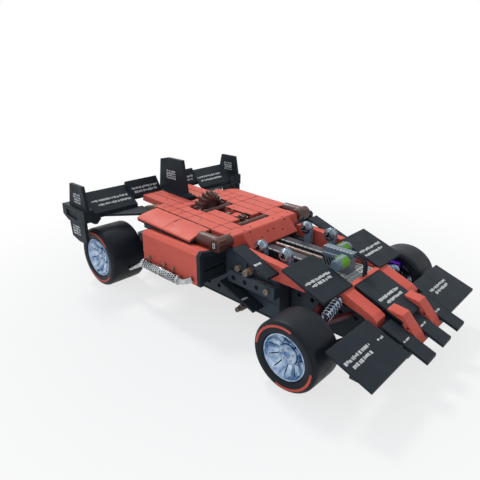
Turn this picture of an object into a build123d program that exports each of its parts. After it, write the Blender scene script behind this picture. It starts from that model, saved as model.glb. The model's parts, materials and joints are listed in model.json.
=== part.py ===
"""Open wheel racing car, a construction kit model on a 16 mm hole grid, about 1:10.

Axes: +X is the car's left, the nose points along -Y, +Z is up and Z 0 is the ground.
Every Y below is measured from the front axle; on export the model is shifted so that
the origin lies under the middle of its length.
"""
import os
from math import cos, hypot, pi, radians, sin, tan

from build123d import *

os.makedirs("parts", exist_ok=True)

# ---------------------------------------------------------------- driving dimensions
MODULE = 16.0                # hole pitch and beam width
FRONT_TIP_Y = -90.0          # tips of the nose prongs
REAR_TIP_Y = 340.0           # rear edge of the wing end plates
WHEELBASE = 18 * MODULE
SLOPE = tan(radians(20))     # rise of every sloping plate, per mm towards the rear
PLATE = 2.4                  # thickness of the sloping plates

# wheels: outer face X, tyre radius, tyre width, rim radius
FRONT_WHEEL = dict(face_x=118.0, radius=33.0, width=37.0, rim=23.6)
REAR_WHEEL = dict(face_x=122.0, radius=37.0, width=46.0, rim=26.0)
WHEEL_FLATS = 40             # tyres and rims are turned with this many flats
HUB_FLATS = 20
AXLE_R = 3.0                 # stub axle
AXLE_INSET = 11.0            # how far the axle ends inside the wheel's outer face
RUNNING_FIT = 0.06           # radial clearance of every turning shaft
SPOKES = 10

KINGPIN_X = 84.0
KINGPIN_R = 2.0
UPRIGHT_HALF = 11.0          # half height of the upright
EYE_H = 4.0                  # height of the arm eyes above and below the upright
ARM_R = 2.2                  # half width of the arms' legs
STEER_PIN = (76.0, 15.0)     # X, Y of the steering arm's pin
STEER_PIN_R = 1.6

PEG_HOLE_R = 2.6

# chassis
FLOOR_Z = (16.0, 19.0)
FRAME_X = (20.0, 36.0)       # inner and outer face of the front frame's beams
FRAME_Y = (-28.0, 70.0)
SIDE_X = (40.0, 56.0)        # inner and outer face of the side beams
BEAM_ROWS_Z = (19.0, 35.0, 51.0)
SIDE_FRONT_Y = 53.0
SIDE_REAR_Y = 188.0
LOW_HOLES = (140, 156, 172)
MIDDLE_HOLES = (76, 92, 108, 124, 140, 156, 172)
MOUNT_HOLES = ((124, 27.0), (60, 43.0))
DECK_FOOT_Z = 79.7           # top of the posts that carry the deck's front corners

# engine deck: its top rises towards the rear
DECK_FRONT_Y = 118.6
DECK_FRONT_Z = 91.0
DECK_RISE = 0.039
DECK_T = 8.0
DECK_HALF = 56.0
STRIP_GROOVE = 0.9           # depth of the grooves between the strips

# gear train, both shafts along Y
GEAR_Z = 86.5
GEAR_Y = (208.5, 218.0)      # front and rear face of the large bevel gear
GEAR_TIP = (21.0, 25.0)      # tip radius at those faces
GEAR_DEPTH = 0.14            # depth of the teeth, as a share of the tip radius
GEAR_TEETH = 20
PINION_Y = (152.0, 160.0)
PINION_TIP = (6.6, 7.6)
PINION_DEPTH = 0.27
PINION_TEETH = 10
SHAFT_R = 3.0

# sloping plates of the nose and front wing
NOSE_PLATE = dict(x_span=(-23, 23), y_span=(-58, -9), rear_z=68.0)
CANARD = dict(x_span=(26, 74), y_span=(-8, 38), rear_z=86.6)
FRONT_WING = dict(x_span=(45.5, 109.5), y_span=(-76.0, -35.0), rear_z=53.0)
NOSE_BAR_Z = 34.4            # top of the bar that joins the prongs
BRIDGE_Z = 69.0              # top of the bridge behind the nose plate

# motor and its radiator grid
GRID_Z = (64.0, 67.6)
GRID_Y = (-4.0, 39.0)
MOTOR_X = 8.0                # half width of the motor block
HEADS = ((-1, 12.0), (1, 28.5))     # the motor's two heads: side, Y of the axis
HEAD = dict(z=82.2, radius=7.3, core=4.0, cap=22.0, outer=25.8)
HOSE_R = 1.3

# side pods and exhausts
POD_PANELS_Y = ((128, 131), (180, 183))
EXHAUST_X = 102.5

END_PLATE_X = 133.0          # outer face of the wing's end plates


# ---------------------------------------------------------------- helpers
def block(x_span, y_span, z_span):
    """Box between two X, two Y and two Z values."""
    size = [span[1] - span[0] for span in (x_span, y_span, z_span)]
    middle = [(span[0] + span[1]) / 2 for span in (x_span, y_span, z_span)]
    return Pos(*middle) * Box(*size)


def side_cut(points, x_span):
    """Solid with an outline of (Y, Z) points, extruded from one X to another."""
    face = Plane.YZ * Polygon(*points, align=None)
    return Pos(x_span[0], 0, 0) * extrude(face, amount=x_span[1] - x_span[0], dir=(1, 0, 0))


def sloped_plate(x_span, y_span, rear_z, thickness=PLATE, slope=SLOPE):
    """Plate whose top rises towards the rear edge, where it is rear_z high."""
    front, rear = y_span
    front_z = rear_z - slope * (rear - front)
    outline = [(front, front_z), (rear, rear_z), (rear, rear_z - thickness), (front, front_z - thickness)]
    return side_cut(outline, x_span)


def rod(start, end, radius):
    """Round rod between two points."""
    start, end = Vector(*start), Vector(*end)
    return Plane(origin=start, z_dir=end - start) * Cylinder(
        radius, (end - start).length, align=(Align.CENTER, Align.CENTER, Align.MIN)
    )


def bar(start, end, radius, sides=12):
    """Straight bar with flats between two points; the radius is that of its corners."""
    start, end = Vector(*start), Vector(*end)
    section = Plane(origin=start, z_dir=end - start) * RegularPolygon(radius, sides)
    return extrude(section, amount=(end - start).length, dir=tuple((end - start).normalized()))


def skin(sections):
    """Solid with flat faces through sections that have the same number of corners."""
    faces = [Face(Wire.make_polygon(section)) for section in (sections[0], sections[-1])]
    for section, following in zip(sections, sections[1:]):
        for i in range(len(section)):
            corners = [section[i - 1], section[i], following[i], following[i - 1]]
            faces.append(Face(Wire.make_polygon(corners)))
    return Solid(Shell(faces))


def front_cut(points, y_span):
    """Solid with an outline of (X, Z) points, extruded from one Y to another."""
    face = Plane.XZ * Polygon(*points, align=None)
    return Pos(0, y_span[0], 0) * extrude(face, amount=y_span[1] - y_span[0], dir=(0, 1, 0))


def pin_x(x_span, y, z, radius):
    """Round pin along X."""
    return rod((x_span[0], y, z), (x_span[1], y, z), radius)


def pin_z(x, y, z_span, radius):
    """Upright round pin."""
    return rod((x, y, z_span[0]), (x, y, z_span[1]), radius)


def other_side(part):
    """The same piece on the other side of the car."""
    return mirror(part, about=Plane.YZ)


def group(parts):
    """Separate solids that share one node."""
    return Compound(children=list(parts))


nodes = {}


def add_pair(name, left_part):
    """A piece on the left and its mirror image on the right."""
    nodes[name + "_left"] = left_part
    nodes[name + "_right"] = other_side(left_part)


# ---------------------------------------------------------------- wheels
def drum(rings, flats):
    """Solid about the X axis through (x, radius) rings, with flats that line up."""
    turns = [2 * pi * (i + 0.5) / flats for i in range(flats)]
    corner = 1 / cos(pi / flats)
    return skin([[(x, corner * r * cos(turn), corner * r * sin(turn)) for turn in turns] for x, r in rings])


def tyre(wheel):
    """Slick tyre about the X axis, its middle at the origin, with stepped round shoulders."""
    half, outer, bead = wheel["width"] / 2, wheel["radius"], wheel["rim"] - 1.5
    shoulder = [(half, outer - 4.6), (half - 1.3, outer - 1.5), (half - 4.6, outer)]
    rings = [(-x, r) for x, r in shoulder] + shoulder[::-1]
    return drum(rings, WHEEL_FLATS) - drum([(-half - 1, bead), (half + 1, bead)], WHEEL_FLATS)


def rim(wheel, outboard):
    """Dished rim with wedge spokes between narrow slits and a flat hub disc; outboard is +1 on the left."""
    half, bead = wheel["width"] / 2 - 1.5, wheel["rim"] - 1.5
    wall, dish, slit = 2.0, 7.0, 1.8
    slit_foot = 10.5
    face = half - dish
    body = drum([(-half, bead), (half, bead)], WHEEL_FLATS)
    body -= drum([(face, 9), (half - 0.8, bead - 2.2), (half + 1, bead - 1.4)], WHEEL_FLATS)
    body -= drum([(-half - 1, bead - wall), (half - 5, bead - wall), (face - 4, 9)], WHEEL_FLATS)
    length = bead - wall - 1.5 - slit_foot
    for i in range(SPOKES):
        blade = Pos(half - 10, 0, slit_foot + length / 2) * Box(24, slit, length)
        body -= Rot(360 / SPOKES * i, 0, 0) * blade
    body += drum([(face - 5, 8.6), (face + 2, 8.6)], HUB_FLATS)
    body += drum([(face - 12, 6.2), (face - 4, 6.2)], HUB_FLATS)
    body -= pin_x((face - 14, face - 1), 0, 0, AXLE_R + RUNNING_FIT)
    return other_side(body) if outboard < 0 else body


def add_wheel(place, wheel, y):
    for side, sign in (("left", 1), ("right", -1)):
        middle_x = sign * (wheel["face_x"] - wheel["width"] / 2)
        spot = Pos(middle_x, y, wheel["radius"])
        nodes[f"tyre_{place}_{side}"] = spot * tyre(wheel)
        nodes[f"rim_{place}_{side}"] = spot * rim(wheel, sign)


# ---------------------------------------------------------------- front suspension
def knuckle():
    """Left upright with its stub axle, kingpin bores, steering arm and brake shield."""
    z = FRONT_WHEEL["radius"]
    upright = block((KINGPIN_X - 4, KINGPIN_X + 4), (-6, 6), (z - UPRIGHT_HALF, z + UPRIGHT_HALF))
    axle = pin_x((KINGPIN_X, FRONT_WHEEL["face_x"] - AXLE_INSET), 0, z, AXLE_R)
    arm_x, arm_y = STEER_PIN
    arm = block((arm_x - 3, KINGPIN_X), (4, arm_y + 3), (z - 2, z + 2))
    pin = pin_z(arm_x, arm_y, (z, z + 7), STEER_PIN_R)
    shield = side_cut([(-5, z), (-14, z), (-18, z + 10), (-5, z + 10)], (KINGPIN_X - 7, KINGPIN_X - 3))
    body = upright + axle + arm + pin + shield
    for low in (z - UPRIGHT_HALF, z + UPRIGHT_HALF - 7):
        body -= pin_z(KINGPIN_X, 0, (low, low + 7), KINGPIN_R + RUNNING_FIT)
    return body


def brake():
    """Brake caliper on the inner side of the left upright."""
    z = FRONT_WHEEL["radius"]
    x_span = (KINGPIN_X - 11, KINGPIN_X - 4)
    return block(x_span, (4, 18), (z + 8.6, z + 10.8)) + block(x_span, (10.5, 18), (z + 10, z + 17))


def front_arms():
    """Upper and lower V arms of both sides with their kingpins."""
    z = FRONT_WHEEL["radius"]
    foot = FRAME_X[1]
    parts = []
    for level, sign in ((z + UPRIGHT_HALF + EYE_H / 2 + 0.3, -1), (z - UPRIGHT_HALF - EYE_H / 2 - 0.3, 1)):
        low, high = level - EYE_H / 2, level + EYE_H / 2
        left = bar((KINGPIN_X, 0, low), (KINGPIN_X, 0, high), 4.2)
        left += pin_z(KINGPIN_X, 0, sorted((level, level + sign * (EYE_H / 2 + 6))), KINGPIN_R)
        for foot_y in (-16, 16):
            half = ARM_R * foot_y / 16
            outline = [(KINGPIN_X, -half), (KINGPIN_X, half), (foot, foot_y + half), (foot, foot_y - half)]
            left += Pos(0, 0, low) * extrude(Polygon(*outline, align=None), amount=EYE_H, dir=(0, 0, 1))
        parts += [left, other_side(left)]
    return parts


# ---------------------------------------------------------------- chassis
def beam_holes(x_span, z, holes, sides=12):
    """Row of peg holes along X at the given Y values."""
    return [bar((x_span[0] - 1, y, z), (x_span[1] + 1, y, z), PEG_HOLE_R, sides) for y in holes]


def side_frame():
    """Stack of hole beams on the left of the chassis with a raised cheek and a post for the deck."""
    low, middle, top = BEAM_ROWS_Z
    outline = [(SIDE_FRONT_Y, low), (SIDE_FRONT_Y, 57), (58, 61), (80, 61), (93, 67), (112, 67),
               (112, DECK_FOOT_Z), (DECK_FRONT_Y, DECK_FOOT_Z), (DECK_FRONT_Y, 67), (SIDE_REAR_Y, 67),
               (SIDE_REAR_Y, low)]
    frame = side_cut(outline, SIDE_X)
    frame += block((SIDE_X[1] - 1, SIDE_X[1] + 2), (96, 126), (52, 67))
    frame += block((SIDE_X[1], SIDE_X[1] + 2), (96, 126), (66, DECK_FOOT_Z))
    for z, holes in (((low + middle) / 2, LOW_HOLES), ((middle + top) / 2, MIDDLE_HOLES)):
        for hole in beam_holes(SIDE_X, z, holes):
            frame -= hole
    for y, z in MOUNT_HOLES:
        frame -= pin_x((SIDE_X[0] - 1, SIDE_X[1] + 1), y, z, PEG_HOLE_R)
    seam_x = (SIDE_X[1] - 0.8, SIDE_X[1] + 0.1)
    return frame - block(seam_x, (SIDE_FRONT_Y - 1, 92), (middle - 0.5, middle + 0.5))


def front_frame():
    """Two hole beams between the front wheels with cross members."""
    left = block(FRAME_X, FRAME_Y, (19.0, 51.0))
    for hole in beam_holes(FRAME_X, 43.0, (-20, -4, 28, 44, 60), 8):
        left -= hole
    frame = left + other_side(left)
    for y in (-28.0, 20.0, 54.0):
        frame += block((-FRAME_X[0], FRAME_X[0]), (y, y + 16), (19.0, 51.0))
    frame += block((-FRAME_X[0], FRAME_X[0]), (24, 36), (51, GRID_Z[0]))
    return frame - block((-40, 40), (STEER_PIN[1] - 7, STEER_PIN[1] + 7), (34.4, 40.8))


def nose_frame():
    """Spine under the nose, the ridge that carries its plate and the cross beam for the front wings."""
    spine = side_cut([(-28, 24), (-28, 48), (-68, 35), (-68, 24)], (-20, 20))
    ridge_top = [(y, under(NOSE_PLATE, y)) for y in (-28, -47.5)]
    ridge = side_cut([(-28, 47), *ridge_top, (-47.5, 40)], (-8, 8))
    cross_top = [(y, under(FRONT_WING, y)) for y in (-64, -50)]
    cross = side_cut([(-64, 28), *cross_top, (-50, 28)], (-96, 96))
    return spine + ridge + cross


def under(plate, y):
    """Height of the underside of a sloping plate at y."""
    return plate["rear_z"] - SLOPE * (plate["y_span"][1] - y) - PLATE


def rear_frame():
    """Beams under the deck with the ribs that carry it, the rear axle carrier and its stub axles."""
    z = REAR_WHEEL["radius"]
    axle_end = REAR_WHEEL["face_x"] - AXLE_INSET
    left = block((24, 40), (119, 304), (51, 67))
    for front, rear in ((134, 146), (236, 248)):
        rib = [(front, 67), (front, deck_under(front)), (rear, deck_under(rear)), (rear, 67)]
        left += side_cut(rib, (24, 40))
    left += block((24, 32), (280, 290), (67, 76))
    frame = left + other_side(left)
    for y in (180.0, 250.0, 288.0):
        frame += block((-24, 24), (y, y + 16), (51, 67))
    frame += block((-56, 56), (WHEELBASE - 8, WHEELBASE + 8), (z - 8, 51))
    return frame + pin_x((-axle_end, axle_end), WHEELBASE, z, AXLE_R)


def rear_arms():
    """V rods from the rear frame down to the ends of the axle carrier."""
    left = bar((34, 236, 64), (56, 286, 44), 2.6, 8) + bar((34, 262, 64), (56, 286, 46), 2.6, 8)
    left -= block((20, 40), (220, 300), (40, 80)) + block((20, 80), (280, 300), (20, 70))
    return [left, other_side(left)]


def floor():
    """Floor plate, narrow at the front axle and full width between the pods."""
    outline = [(-20, -28), (20, -28), (34, -20), (34, 46), (56, 53), (56, 188), (36, 230), (36, 300),
               (-36, 300), (-36, 230), (-56, 188), (-56, 53), (-34, 46), (-34, -20)]
    plate = extrude(Polygon(*outline, align=None), amount=FLOOR_Z[1] - FLOOR_Z[0], dir=(0, 0, 1))
    return Pos(0, 0, FLOOR_Z[0]) * plate


# ---------------------------------------------------------------- bodywork
def deck_top(y):
    """Height of the deck's top at y."""
    return DECK_FRONT_Z + DECK_RISE * (y - DECK_FRONT_Y)


def deck_under(y):
    """Height of the deck's underside at y."""
    return deck_top(y) - DECK_T * hypot(1, DECK_RISE)


# deck strips along Y: middle X of the left one, front Y, rear Y
STRIPS = (
    (48, 134.6, 253),
    (32, 134.6, 301),
    (16, 150.6, 194),
    (16, 226, 301),
)
CENTRE_STRIP = (226, 240)    # between the two rear strips, over the drive gear's bearing
CROSS_SEAMS = (150.6, 194.0, 210.5, 226.0, 240.0)


def along_deck(face, length):
    """Extrudes a face towards the rear, rising with the deck."""
    return extrude(face, amount=length * hypot(1, DECK_RISE), dir=(0, 1, DECK_RISE))


def strip(x, front, rear):
    """Deck strip with bevelled long edges, so that neighbours leave a groove."""
    half, groove = MODULE / 2, STRIP_GROOVE
    section = [(-half, DECK_T), (half, DECK_T), (half, groove), (half - groove, 0), (groove - half, 0),
               (-half, groove)]
    start = Plane(origin=(x, front, deck_top(front)), x_dir=(1, 0, 0), z_dir=(0, 1, DECK_RISE))
    return along_deck(start * Polygon(*section, align=None), rear - front)


def engine_deck():
    """Front beam, grooved strips with gaps for the shafts and gears, and both gear shafts' bearings."""
    low, high = deck_under(DECK_FRONT_Y), deck_top(134.6)
    beam = [(DECK_FRONT_Y, low), (DECK_FRONT_Y, DECK_FRONT_Z - 1.6), (DECK_FRONT_Y + 2.2, DECK_FRONT_Z),
            (134.0, high), (134.9, high - STRIP_GROOVE), (134.9, deck_under(134.9))]
    deck = side_cut(beam, (-DECK_HALF, DECK_HALF))
    for x, front, rear in STRIPS:
        deck += strip(x, front, rear) + strip(-x, front, rear)
    deck += strip(0, *CENTRE_STRIP)
    bearing_top = deck_top(CENTRE_STRIP[0]) - 2
    deck += block((-8, 8), CENTRE_STRIP, (GEAR_Z - 7, bearing_top))
    deck += block((-8.5, 8.5), (162, 172), (GEAR_Z - 7, GEAR_Z + 4.8))
    for y in CROSS_SEAMS:
        deck -= Pos(0, y, deck_top(y)) * Rot(45, 0, 0) * Box(2 * DECK_HALF + 2, 1.0, 1.0)
    deck -= block((-27, 27), (GEAR_Y[0] - 3, GEAR_Y[1] + 3), (60, 110))
    deck -= block((-10.5, 10.5), (150, 161.5), (60, 110))
    for y_span in ((160, 174), (224, 242)):
        deck -= rod((0, y_span[0], GEAR_Z), (0, y_span[1], GEAR_Z), SHAFT_R + RUNNING_FIT)
    return deck


def bulkhead():
    """Sloping front wall of the deck, set back between two corner blocks."""
    outline = [(DECK_FRONT_Y, DECK_FRONT_Z), (104.6, 76.2), (104.6, 75), (DECK_FRONT_Y, 75)]
    wall = side_cut(outline, (-SIDE_X[0], SIDE_X[0]))
    corner = side_cut([(DECK_FRONT_Y, DECK_FRONT_Z), (116.1, DECK_FOOT_Z), (DECK_FRONT_Y, DECK_FOOT_Z)],
                      (SIDE_X[0], DECK_HALF))
    return wall + corner + other_side(corner)


# side flap seen from the front: deck side, knee, outer edge
FLAP_TOP = ((57, 92.0), (70, 91.2), (80, 89.6), (87, 87.2))
FLAP_Y = (151.0, 246.0)
FLAP_CORNER = 9.0


def flap_layer(drop, thickness, inner_x, inset):
    """One layer of the left flap, rising to the rear with the deck; drop is its distance below the top."""
    top = [(inner_x, FLAP_TOP[0][1] - drop)] + [(x - inset, z - drop) for x, z in FLAP_TOP[1:]]
    section = top + [(x, z - thickness) for x, z in reversed(top)]
    front, rear = FLAP_Y
    height = FLAP_TOP[0][1]
    start = Plane(origin=(0, front, height), x_dir=(1, 0, 0), z_dir=(0, 1, DECK_RISE))
    face = start * Polygon(*[(x, height - z) for x, z in section], align=None)
    layer = along_deck(face, rear - front)
    outer = FLAP_TOP[-1][0] - inset
    for y, sign in ((front, 1), (rear, -1)):
        corner = [(outer + 1, y - sign), (outer - FLAP_CORNER, y - sign), (outer - 3, y + sign * 2.6),
                  (outer + 1, y + sign * FLAP_CORNER)]
        layer -= Pos(0, 0, 70) * extrude(Polygon(*corner, align=None), amount=40, dir=(0, 0, 1))
    return layer


def flaps():
    """Side flaps of the deck, curving down to their outer edges."""
    left = flap_layer(0, 2.2, 57, 0)
    return [left, other_side(left)]


def flap_base():
    """Black layer under the left flap, clipped to the side of the deck."""
    return flap_layer(2.2, 2.2, DECK_HALF, 0.6)


# pod section seen from the front: foot, outer wall, shoulder, top falling towards the deck
POD_OUTER = ((98, 46), (98, 80), (94, 84), (62, 77))
POD_INNER = ((95.6, 46), (95.6, 79), (93, 81.4), (62, 74.6))


def pod_ring(outer, inner, y_span):
    """Open channel between an outer and an inner (X, Z) line."""
    face = Plane.XZ * Polygon(*outer, *reversed(inner), align=None)
    return Pos(0, y_span[0], 0) * extrude(face, amount=y_span[1] - y_span[0], dir=(0, 1, 0))


def sidepod():
    """Left side pod: outer wall, shoulder and top."""
    return pod_ring(POD_OUTER, POD_INNER, (128, 221))


def sidepod_frame():
    """Black frame round the pod's mouth, the panels that carry the pod, and the flap's base."""
    inner = ((93, 46), (93, 77), (91.5, 78.6), (62, 72.2))
    frame = pod_ring(POD_OUTER, inner, (123, 128))
    panel = [(SIDE_X[1], 60), (95.6, 60), (95.6, 79), (93, 81.4), (62, 74.6), (SIDE_X[1], 74.6)]
    for y_span in POD_PANELS_Y:
        frame += front_cut(panel, y_span)
    frame += block((SIDE_X[1], 95.6), (128, 136), (46, 58)) + block((90, 95.6), (128, 131), (58, 60))
    return [frame, flap_base()]


def exhaust():
    """Left exhaust: bent pipe with an open tail and a fatter heat shield in its middle."""
    points = [(245, 31), (217, 45.5), (183, 47), (150, 46), (138, 50.5)]
    route = [(EXHAUST_X, y, z) for y, z in points]
    pipe = bar(route[0], route[1], 3.4, 10)
    for start, end in zip(route[1:], route[2:]):
        pipe += bar(start, end, 3.4, 10)
    pipe += bar(route[1], route[2], 5.2, 10) + bar(route[2], route[3], 5.2, 10)
    pipe += bar(route[-1], (EXHAUST_X - 4, 134, 52), 3.4, 10)
    return pipe - bar(route[0], (EXHAUST_X, 238, 34.6), 2.4, 10) - block((80, 98), (120, 230), (38, 62))


def elbows():
    """Elbow connectors between deck and side pods."""
    left = bar((72, 150, 87), (72, 114, 87), 7.4) + bar((72, 122, 87), (DECK_HALF, 122, 87), 7.0)
    return [left, other_side(left)]


def cross_shafts():
    """Two fixed round rods across the gaps in the deck: Y, height, radius."""
    return [bar((-24, y, z), (24, y, z), r) for y, z, r in ((141, 88.6, 3.7), (201.5, 90.2, 3.9))]


def sills():
    """Cockpit sides, drawn out to a point at the front."""
    outline = [(112, 80), (98, 81), (50, 77.5), (24, 61), (80, 61), (93, 67), (112, 67)]
    left = side_cut(outline, (47, SIDE_X[1]))
    return [left, other_side(left)]


def side_panels():
    """Upper and lower small sloping plates on the left side frame."""
    upper = sloped_plate((SIDE_X[1], 73), (55, 101), 88)
    lower = sloped_plate((SIDE_X[1], 72), (74, 122), 45)
    return [upper, lower]


def canards():
    """Large sloping plates beside the cockpit."""
    left = sloped_plate(**CANARD)
    return [left, other_side(left)]


def nose_plate():
    """Middle plate of the nose."""
    return sloped_plate(**NOSE_PLATE)


def nose_bars():
    """Red bars under the canards, standing on the front frame, joined by a bridge behind the nose plate."""
    outline = [(36, 51), (36, under(CANARD, 36)), (-7, under(CANARD, -7)), (-38, 55.5), (-43, 52),
               (-43, 42.5), (-38, 42.5), (-30, 51.5), (-7, 58), (22, 69), (22, 51)]
    left = side_cut(outline, (26.5, 42))
    left -= block((36, 43), (20, 37), (50, 60))
    bridge = block((-27, 27), (-9, GRID_Y[0]), (61, 67))
    bridge += block((-25.5, 25.5), (-9, GRID_Y[0]), (66, BRIDGE_Z))
    return left + other_side(left) + bridge


def nose_horns():
    """Two red horns bending down to the tip of the nose."""
    outline = [(-43, 57.6), (-57, 56), (-71, 41), (-76, NOSE_BAR_Z), (-68.5, NOSE_BAR_Z), (-58.4, 47.5),
               (-58.4, 50.4), (-43, 56)]
    left = side_cut(outline, (10.5, 24))
    for y, z in ((-63, 45.5), (-69, 38.5)):
        left -= bar((10, y, z), (25, y, z), 1.5, 8)
    return [left, other_side(left)]


def prongs():
    """Three narrow sloping plates at the tip, joined by a bar below."""
    rear = -48.0
    height = 34.5 + SLOPE * (rear - FRONT_TIP_Y)
    body = block((-42.5, 42.5), (-74, -68), (30, NOSE_BAR_Z))
    for x_span in ((-42.5, -25), (-9, 9), (25, 42.5)):
        body += sloped_plate(x_span, (FRONT_TIP_Y, rear), height, 3.0)
        body += block(x_span, (-74, -68), (NOSE_BAR_Z, 39))
    return body


def front_wings():
    """Wide sloping plates of the front wing."""
    left = sloped_plate(**FRONT_WING)
    return [left, other_side(left)]


# ---------------------------------------------------------------- rear wing
def wing_section(le, te, thickness, x_span):
    """Inclined plank between a leading edge and a trailing edge (Y, Z)."""
    (y0, z0), (y1, z1) = le, te
    return side_cut([(y0, z0), (y1, z1), (y1, z1 - thickness), (y0, z0 - thickness)], x_span)


def wing_main():
    """Outer panels and a steeper raised middle panel, parted by the middle fin."""
    side = wing_section((290, 92), (318, 112), 4, (56, 121))
    side += side_cut([(301.32, 98.5), (313, 117), (317, 114.5), (307, 94), (301.32, 94)], (8.5, 57))
    return [side, other_side(side)]


def wing_lower():
    """Second element below the main plane, on blocks that stand on the rear frame."""
    side = side_cut([(262, 83), (289, 87), (289, 84), (262, 80)], (50, 121))
    side += block((42, 52), (276, 289), (79, 85))
    return side + other_side(side) + block((-52, 52), (276, 289), (76, 81))


def wing_links():
    """Tan links between the deck strips and the lower element."""
    left = side_cut([(253.31, 89), (253.31, 94), (264, 92.5), (284, 88), (284, 85), (262, 85)], (41, 49.9))
    return [left, other_side(left)]


def end_plate():
    """Left end plate: box on top, plate below, fin above."""
    outer = END_PLATE_X
    outline = [(286, 84), (286, 99), (REAR_TIP_Y - 1, 99), (REAR_TIP_Y, 86), (328, 80), (300, 80)]
    box = side_cut(outline, (121, outer))
    box -= side_cut([(304, 84), (304, 94), (330, 94), (330, 86)], (outer - 2, outer + 1))
    plate = side_cut([(288, 84), (288, 60), (297, 57), (306, 57), (322, 61), (325, 84)], (outer - 4, outer))
    fin = side_cut([(286, 98), (291, 127), (320, 127), (328, 98)], (125, 129))
    return box + plate + fin


def fin_centre():
    """Tall middle fin on its rail between the rear strips of the deck."""
    rail = side_cut([(250, 89), (250, 97.4), (312, 99.5), (312, 90)], (-8, 8))
    foot = side_cut([(252, 97), (254, 100), (312, 102), (312, 99)], (-5, 5))
    blade = side_cut([(256, 98), (263, 143), (294, 143), (308, 140), (314, 99)], (-2.5, 2.5))
    return rail + foot + blade


# ---------------------------------------------------------------- cockpit
COCKPIT_FLOOR = ((-40, 40), (40, 116), (60, 64))
TUBE = (71.0, 3.2)           # height of its axis, radius


def cockpit_floor():
    """Plate between the side frames with two saddles for the tube."""
    height, radius = TUBE
    plate = block(*COCKPIT_FLOOR)
    for y in (50, 98):
        plate += block((-3, 3), (y, y + 6), (64, height - radius))
    return plate


def clamps():
    """Four stepped round clamps with an open middle on flat stalks."""
    parts = []
    for y in (91.8, 59.3):
        disc = bar((36.5, y, 83), (43.5, y, 83), 7.6, 14) + bar((35, y, 83), (45, y, 83), 4.8, 10)
        disc += block((37, 40), (y - 7.4, y + 0.6), (64, 83))
        disc -= bar((34, y, 83), (46, y, 83), 2.4, 8)
        parts += [disc, other_side(disc)]
    return parts


def cockpit_slabs():
    """Two long slabs on the cockpit floor."""
    left = block((9, 21), (48, 112), (64, 74))
    return [left, other_side(left)]


def radiator_grid():
    """Open grid under the motor: bars along both directions in one frame."""
    columns, rows, gap_x, gap_y = 5, 5, 7.2, 6.2
    grid = block((-24, 24), GRID_Y, GRID_Z)
    for i in range(columns):
        for j in range(rows):
            x = (i - (columns - 1) / 2) * 9.2
            y = (GRID_Y[0] + GRID_Y[1]) / 2 + (j - (rows - 1) / 2) * 8.2
            grid -= block((x - gap_x / 2, x + gap_x / 2), (y - gap_y / 2, y + gap_y / 2), (60, 70))
    return grid


def head_ring(side, y, x_span, radius):
    """Eight sided drum on the axis of one of the motor's heads."""
    return bar((side * x_span[0], y, HEAD["z"]), (side * x_span[1], y, HEAD["z"]), radius, 8)


def motor():
    """Motor block with slanted cooling slots, a bar on top and the cores and caps of its two heads."""
    body = block((-MOTOR_X, MOTOR_X), (9, 38), (GRID_Z[1], 84))
    for i in range(5):
        slot = Pos(MOTOR_X, 14 + 4.7 * i, 76.5) * Rot(-25, 0, 0) * Box(3, 2.0, 10)
        body -= slot
        body -= other_side(slot)
    body += block((-4, 4), (6, 40), (84, 89))
    for side, y in HEADS:
        body += head_ring(side, y, (MOTOR_X - 1, HEAD["cap"]), HEAD["core"])
        body += head_ring(side, y, (HEAD["cap"], HEAD["outer"]), HEAD["radius"] - 0.7)
    return body


def motor_heads():
    """Green ribbed sleeves of the two heads."""
    parts = []
    for side, y in HEADS:
        sleeve = head_ring(side, y, (MOTOR_X, HEAD["cap"]), HEAD["radius"] - 1.2)
        for i in range(4):
            sleeve += head_ring(side, y, (MOTOR_X + 0.7 + 3.5 * i, MOTOR_X + 2.7 + 3.5 * i), HEAD["radius"])
        parts.append(sleeve - head_ring(side, y, (MOTOR_X, HEAD["cap"]), HEAD["core"]))
    return parts


def hoses():
    """Two hoses that arch from the motor's bar down to the bridge of the nose."""
    parts = []
    for x in (-2.3, 2.3):
        route = FilletPolyline((x, 6, 86.8), (x, -6, 86.8), (x, -6, BRIDGE_Z), radius=9)
        start = Plane(origin=(x, 6, 86.8), z_dir=(0, -1, 0))
        parts.append(sweep(start * RegularPolygon(HOSE_R, 6), path=route))
    return parts


# ---------------------------------------------------------------- gears
def toothed(y, tip, depth, teeth):
    """Corners of a gear in the plane at y, with straight sided teeth; depth is a share of the tip radius."""
    root = tip * (1 - depth)
    corners = []
    for i in range(teeth):
        for share, radius in ((-0.36, root), (-0.16, tip), (0.16, tip), (0.36, root)):
            angle = 2 * pi * (i + share) / teeth
            corners.append((radius * cos(angle), y, GEAR_Z + radius * sin(angle)))
    return corners


def bevel_gear(y_span, tips, depth, teeth):
    """Gear about Y whose teeth taper from one face to the other."""
    return skin([toothed(y, tip, depth, teeth) for y, tip in zip(y_span, tips)])


def on_axis(front, rear, radius, sides=12):
    """Collar with flats on the gears' axis."""
    return bar((0, front, GEAR_Z), (0, rear, GEAR_Z), radius, sides)


def drive_gear():
    """Large bevel gear with a recessed web, its hubs and its shaft."""
    front, rear = GEAR_Y
    gear = bevel_gear(GEAR_Y, GEAR_TIP, GEAR_DEPTH, GEAR_TEETH)
    gear -= on_axis(front - 1, front + 3, 15, HUB_FLATS) - on_axis(front - 2, front + 4, 8)
    gear += on_axis(front - 2.5, front + 1, 6) + on_axis(rear - 1, 225, 9)
    return gear + rod((0, 215, GEAR_Z), (0, 240, GEAR_Z), SHAFT_R)


def pinion():
    """Small bevel gear and the bush behind it on one shaft."""
    gear = bevel_gear(PINION_Y, PINION_TIP, PINION_DEPTH, PINION_TEETH)
    return gear + rod((0, 149, GEAR_Z), (0, 190, GEAR_Z), SHAFT_R) + on_axis(176, 182, 5)


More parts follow.
